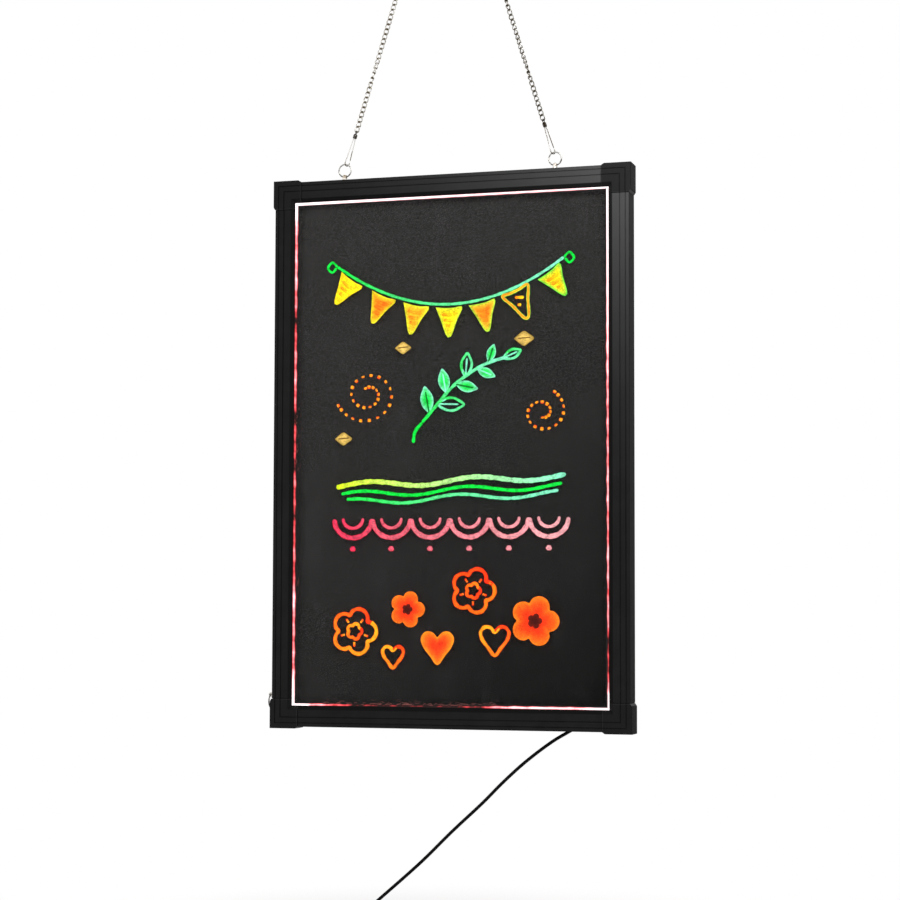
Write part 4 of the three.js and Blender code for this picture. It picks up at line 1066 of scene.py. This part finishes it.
def run_paint():
    """Thin wisps where red paint has run and been wiped, along the bottom edge and on the left.
    A wisp fades with e to the power of minus its distance from the edge over a reach."""
    art = Drawing()
    left_edge, bottom_edge, reach = -177, -276, 5
    paint, sheet = np.array((92, 38, 34)), 32
    spread = np.random.RandomState(7)
    for low, high, count, upright in (
        (-142, 58, 110, False), (-24, 52, 26, True), (-172, -120, 12, True),
    ):
        for start in spread.uniform(low, high, count):
            off = spread.gamma(1.6, 1.5)
            length, lift = spread.uniform(2, 7), spread.uniform(-1.2, 1.6)
            wisp = np.array([(0, 0), (0.5, lift), (1, 0.3 * lift)]) * (length, 1) + (start, off)
            if upright:
                wisp = wisp[:, ::-1] * (1.2, 1) + (left_edge, 0)
            else:
                wisp = wisp + (0, bottom_edge)
            faint = srgb(*(paint * np.exp(-off / reach) + sheet))
            art.stroke(wisp, spread.uniform(0.45, 0.9), faint)
    return art.piece("drawing_run_paint")


for draw in (pennants, sprig, dots, waves, blossoms, run_paint):
    draw()


def heat_colour(heat):
    """Glow colours by heat: 0 is unlit, 1 red, 2 pink and 3 or more white."""
    unlit, red = (0.012, 0.004, 0.004), (0.8, 0.06, 0.07)
    pink, white = (0.95, 0.42, 0.46), (1, 0.97, 0.98)
    parts = zip(unlit, red, pink, white)
    return np.stack([np.interp(heat, range(4), part) for part in parts], axis=-1)


def make_edge_glow():
    """The lit edge of the pane: a bead of light against the lip on all four sides, bright white
    by the corners and in broken reds where paint has run into it, with a painted shadow line
    inside. Each side has its bead's height, its heat at shares of its length, and its width at
    both ends.
    Where it is broken, heat and width waver by sums of sines along it."""
    shape = Shape()
    opening = np.array([half_width - rail_face, half_height - rail_face])
    inward = np.array([0.0, 0.55, 1.25, 1.95, 2.5, 2.9])
    raised = np.array([1.0, 0.85, 0.62, 0.4, 0.2, 0.03])
    core = np.array([-1.4, -0.1, 0.35, 0.1, -0.8, -1.6])
    # dark: the ink of a painted shadow line just inside the bead of light
    flat, dark = 0.03, 0.006
    sides = {
        "top": (1.6, (0.84, 0.46), [(0, 3.3), (0.2, 3.0), (0.6, 2.7), (0.93, 2.75), (1, 3.3)]),
        "left": (2.6, (0.64, 0.62), [
            (0, 3.3), (0.03, 3), (0.06, 1.3), (0.15, 1.7), (0.21, 0.9), (0.24, -0.2), (0.27, 0.8),
            (0.35, 1.3), (0.4, 0.9), (0.43, -0.3), (0.47, 0.8), (0.53, 0), (0.56, 1), (0.62, 0.2),
            (0.7, 1), (0.75, 0.5), (0.78, 2.2), (0.84, 1.2), (0.92, 1.3), (0.96, 2.8), (1, 3.3)]),
        "right": (2.0, (0.88, 0.64), [
            (0, 3.3), (0.12, 3.1), (0.28, 2.4), (0.4, 1.5), (0.52, 1.3), (0.58, 1.9), (0.66, 1.0),
            (0.71, 1.9), (0.78, 1), (0.83, 1.7), (0.86, 0), (0.93, 0.5), (0.955, 1.1), (0.97, 3),
            (1, 3.4)]),
        "bottom": (1.2, (0.64, 0.7), [
            (0, 3.3), (0.05, 3.2), (0.06, 1.7), (0.15, 0.8), (0.2, -0.2), (0.5, -0.45), (0.61, 0.2),
            (0.67, 1.9), (0.78, 2.5), (0.9, 2.2), (0.96, 3.1), (1, 3.3)]),
    }
    for side, (rise, widths, stops) in sides.items():
        upright = side in ("left", "right")
        reach = opening[1] if upright else opening[0]
        share = np.linspace(0, 1, 260 if upright else 180)
        place = share * 2 * reach / mm
        waver = 0.5 * np.sin(place * 0.23 + reach) + 0.3 * np.sin(place * 0.61)
        waver = waver + 0.2 * np.sin(place * 1.7)
        heat = np.interp(share, *zip(*stops))
        broken = np.clip((3.1 - heat) / 1.2, 0, 1)
        heat = heat + 0.6 * waver * broken
        swell = 1 + broken * (0.3 - 0.15 * np.sin(place * 0.31 + 2))
        into = inward * (np.interp(share, (0, 1), widths) * swell)[:, None]
        into = np.hstack([into, into[:, -1:] + 0.4, np.maximum(into[:, -1:], 3.2) + 0.9])
        high = np.broadcast_to(np.concatenate([raised * rise, (flat, flat)]), into.shape)
        paint = heat_colour(heat[:, None] + core * (0.5 + 0.5 * broken[:, None]))
        # the last two columns, furthest into the pane, carry the painted shadow line
        paint = np.concatenate([paint, np.full((len(share), 2, 3), dark)], axis=1)
        run = np.broadcast_to(((2 * share - 1) * reach)[:, None], into.shape)
        y = pane_y - high * mm
        if upright:
            x = board_x + (into * mm - opening[0]) * (1 if side == "left" else -1)
            grid = np.stack([x, y, board_z - run], axis=2)
        else:
            z = board_z + (opening[1] - into * mm) * (1 if side == "top" else -1)
            grid = np.stack([board_x + run, y, z], axis=2)
        shape.surface(grid, wrap_columns=False, ink=paint)
    return shape.piece("edge_glow", bright_ink("edge_light", 1.0, 0.35), "board", "clear_acrylic")


make_edge_glow()


# Every CAD node that stays is given its finish
own_finishes = (
    (("rail_top", "rail_bottom"), level_rail),
    (("hanger_stud", "stud_nut"), stud_plate),
    (("adapter_body", "adapter_cover", "control_base", "control_cover"), housing),
)
for name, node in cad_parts.items():
    finish = finishes[node.material_slots[0].material.name.split(".")[0]]
    for starts, own in own_finishes:
        if name.startswith(starts):
            finish = own
    for slot in node.material_slots:
        slot.material = finish


# Stage: floor, lamps and the world

def pale_paper():
    """Studio paper: camera, mirror and glass rays see it nearly white, and wholly white from
    half a metre out, so that only the shadow close under the object shows."""
    f = Finish("studio_paper", 0.1, Roughness=0.9, Base_Color=(0.86, 0.86, 0.86, 1))
    x, y, _ = f.axes()
    far = ((x * x + y * y) ** 0.5).between(0.25, 0.55)
    paper, white = Value(f, f.shader.outputs[0]), f.add("Emission")
    both = f.add("MixShader", (f.seen() * (0.6 + 0.4 * far), paper, white))
    f.tree.links.new(both.socket, f.tree.nodes["Material Output"].inputs["Surface"])
    return f.material


def make_stage():
    """The floor, a world that is white to the eye and dimmer as a lamp, and three area lamps."""
    reach, rest_light, lamp_aim = 9, 0.55, (0, 0, -0.7)
    floor = bpy.data.meshes.new("floor")
    corners = [(x * reach, y * reach, rest_z) for x, y in ((-1, -1), (1, -1), (1, 1), (-1, 1))]
    floor.from_pydata(corners, [], [(0, 1, 2, 3)])
    floor.materials.append(pale_paper())
    new_object("floor", floor)

    world = bpy.data.worlds.new("studio")
    world.use_nodes = True
    bpy.context.scene.world = world
    sky = Nodes(world.node_tree)
    background = sky.tree.nodes["Background"]
    background.inputs["Color"].default_value = (1, 1, 1, 1)
    level = rest_light + (1 - rest_light) * sky.seen()
    sky.tree.links.new(level.socket, background.inputs["Strength"])

    for name, place, size, power in (
        ("key_lamp", (1.6, -2.2, 0.9), 1.6, 46),
        ("fill_lamp", (-2.2, -1.8, 0.1), 1.8, 14),
        ("rim_lamp", (0.6, 2.0, 0.8), 1.4, 22),
    ):
        data = bpy.data.lights.new(name, "AREA")
        data.size, data.energy = size, power
        aimed(name, data, place, Vector(lamp_aim) - Vector(place))


make_stage()
bpy.context.scene.view_settings.view_transform = "Standard"
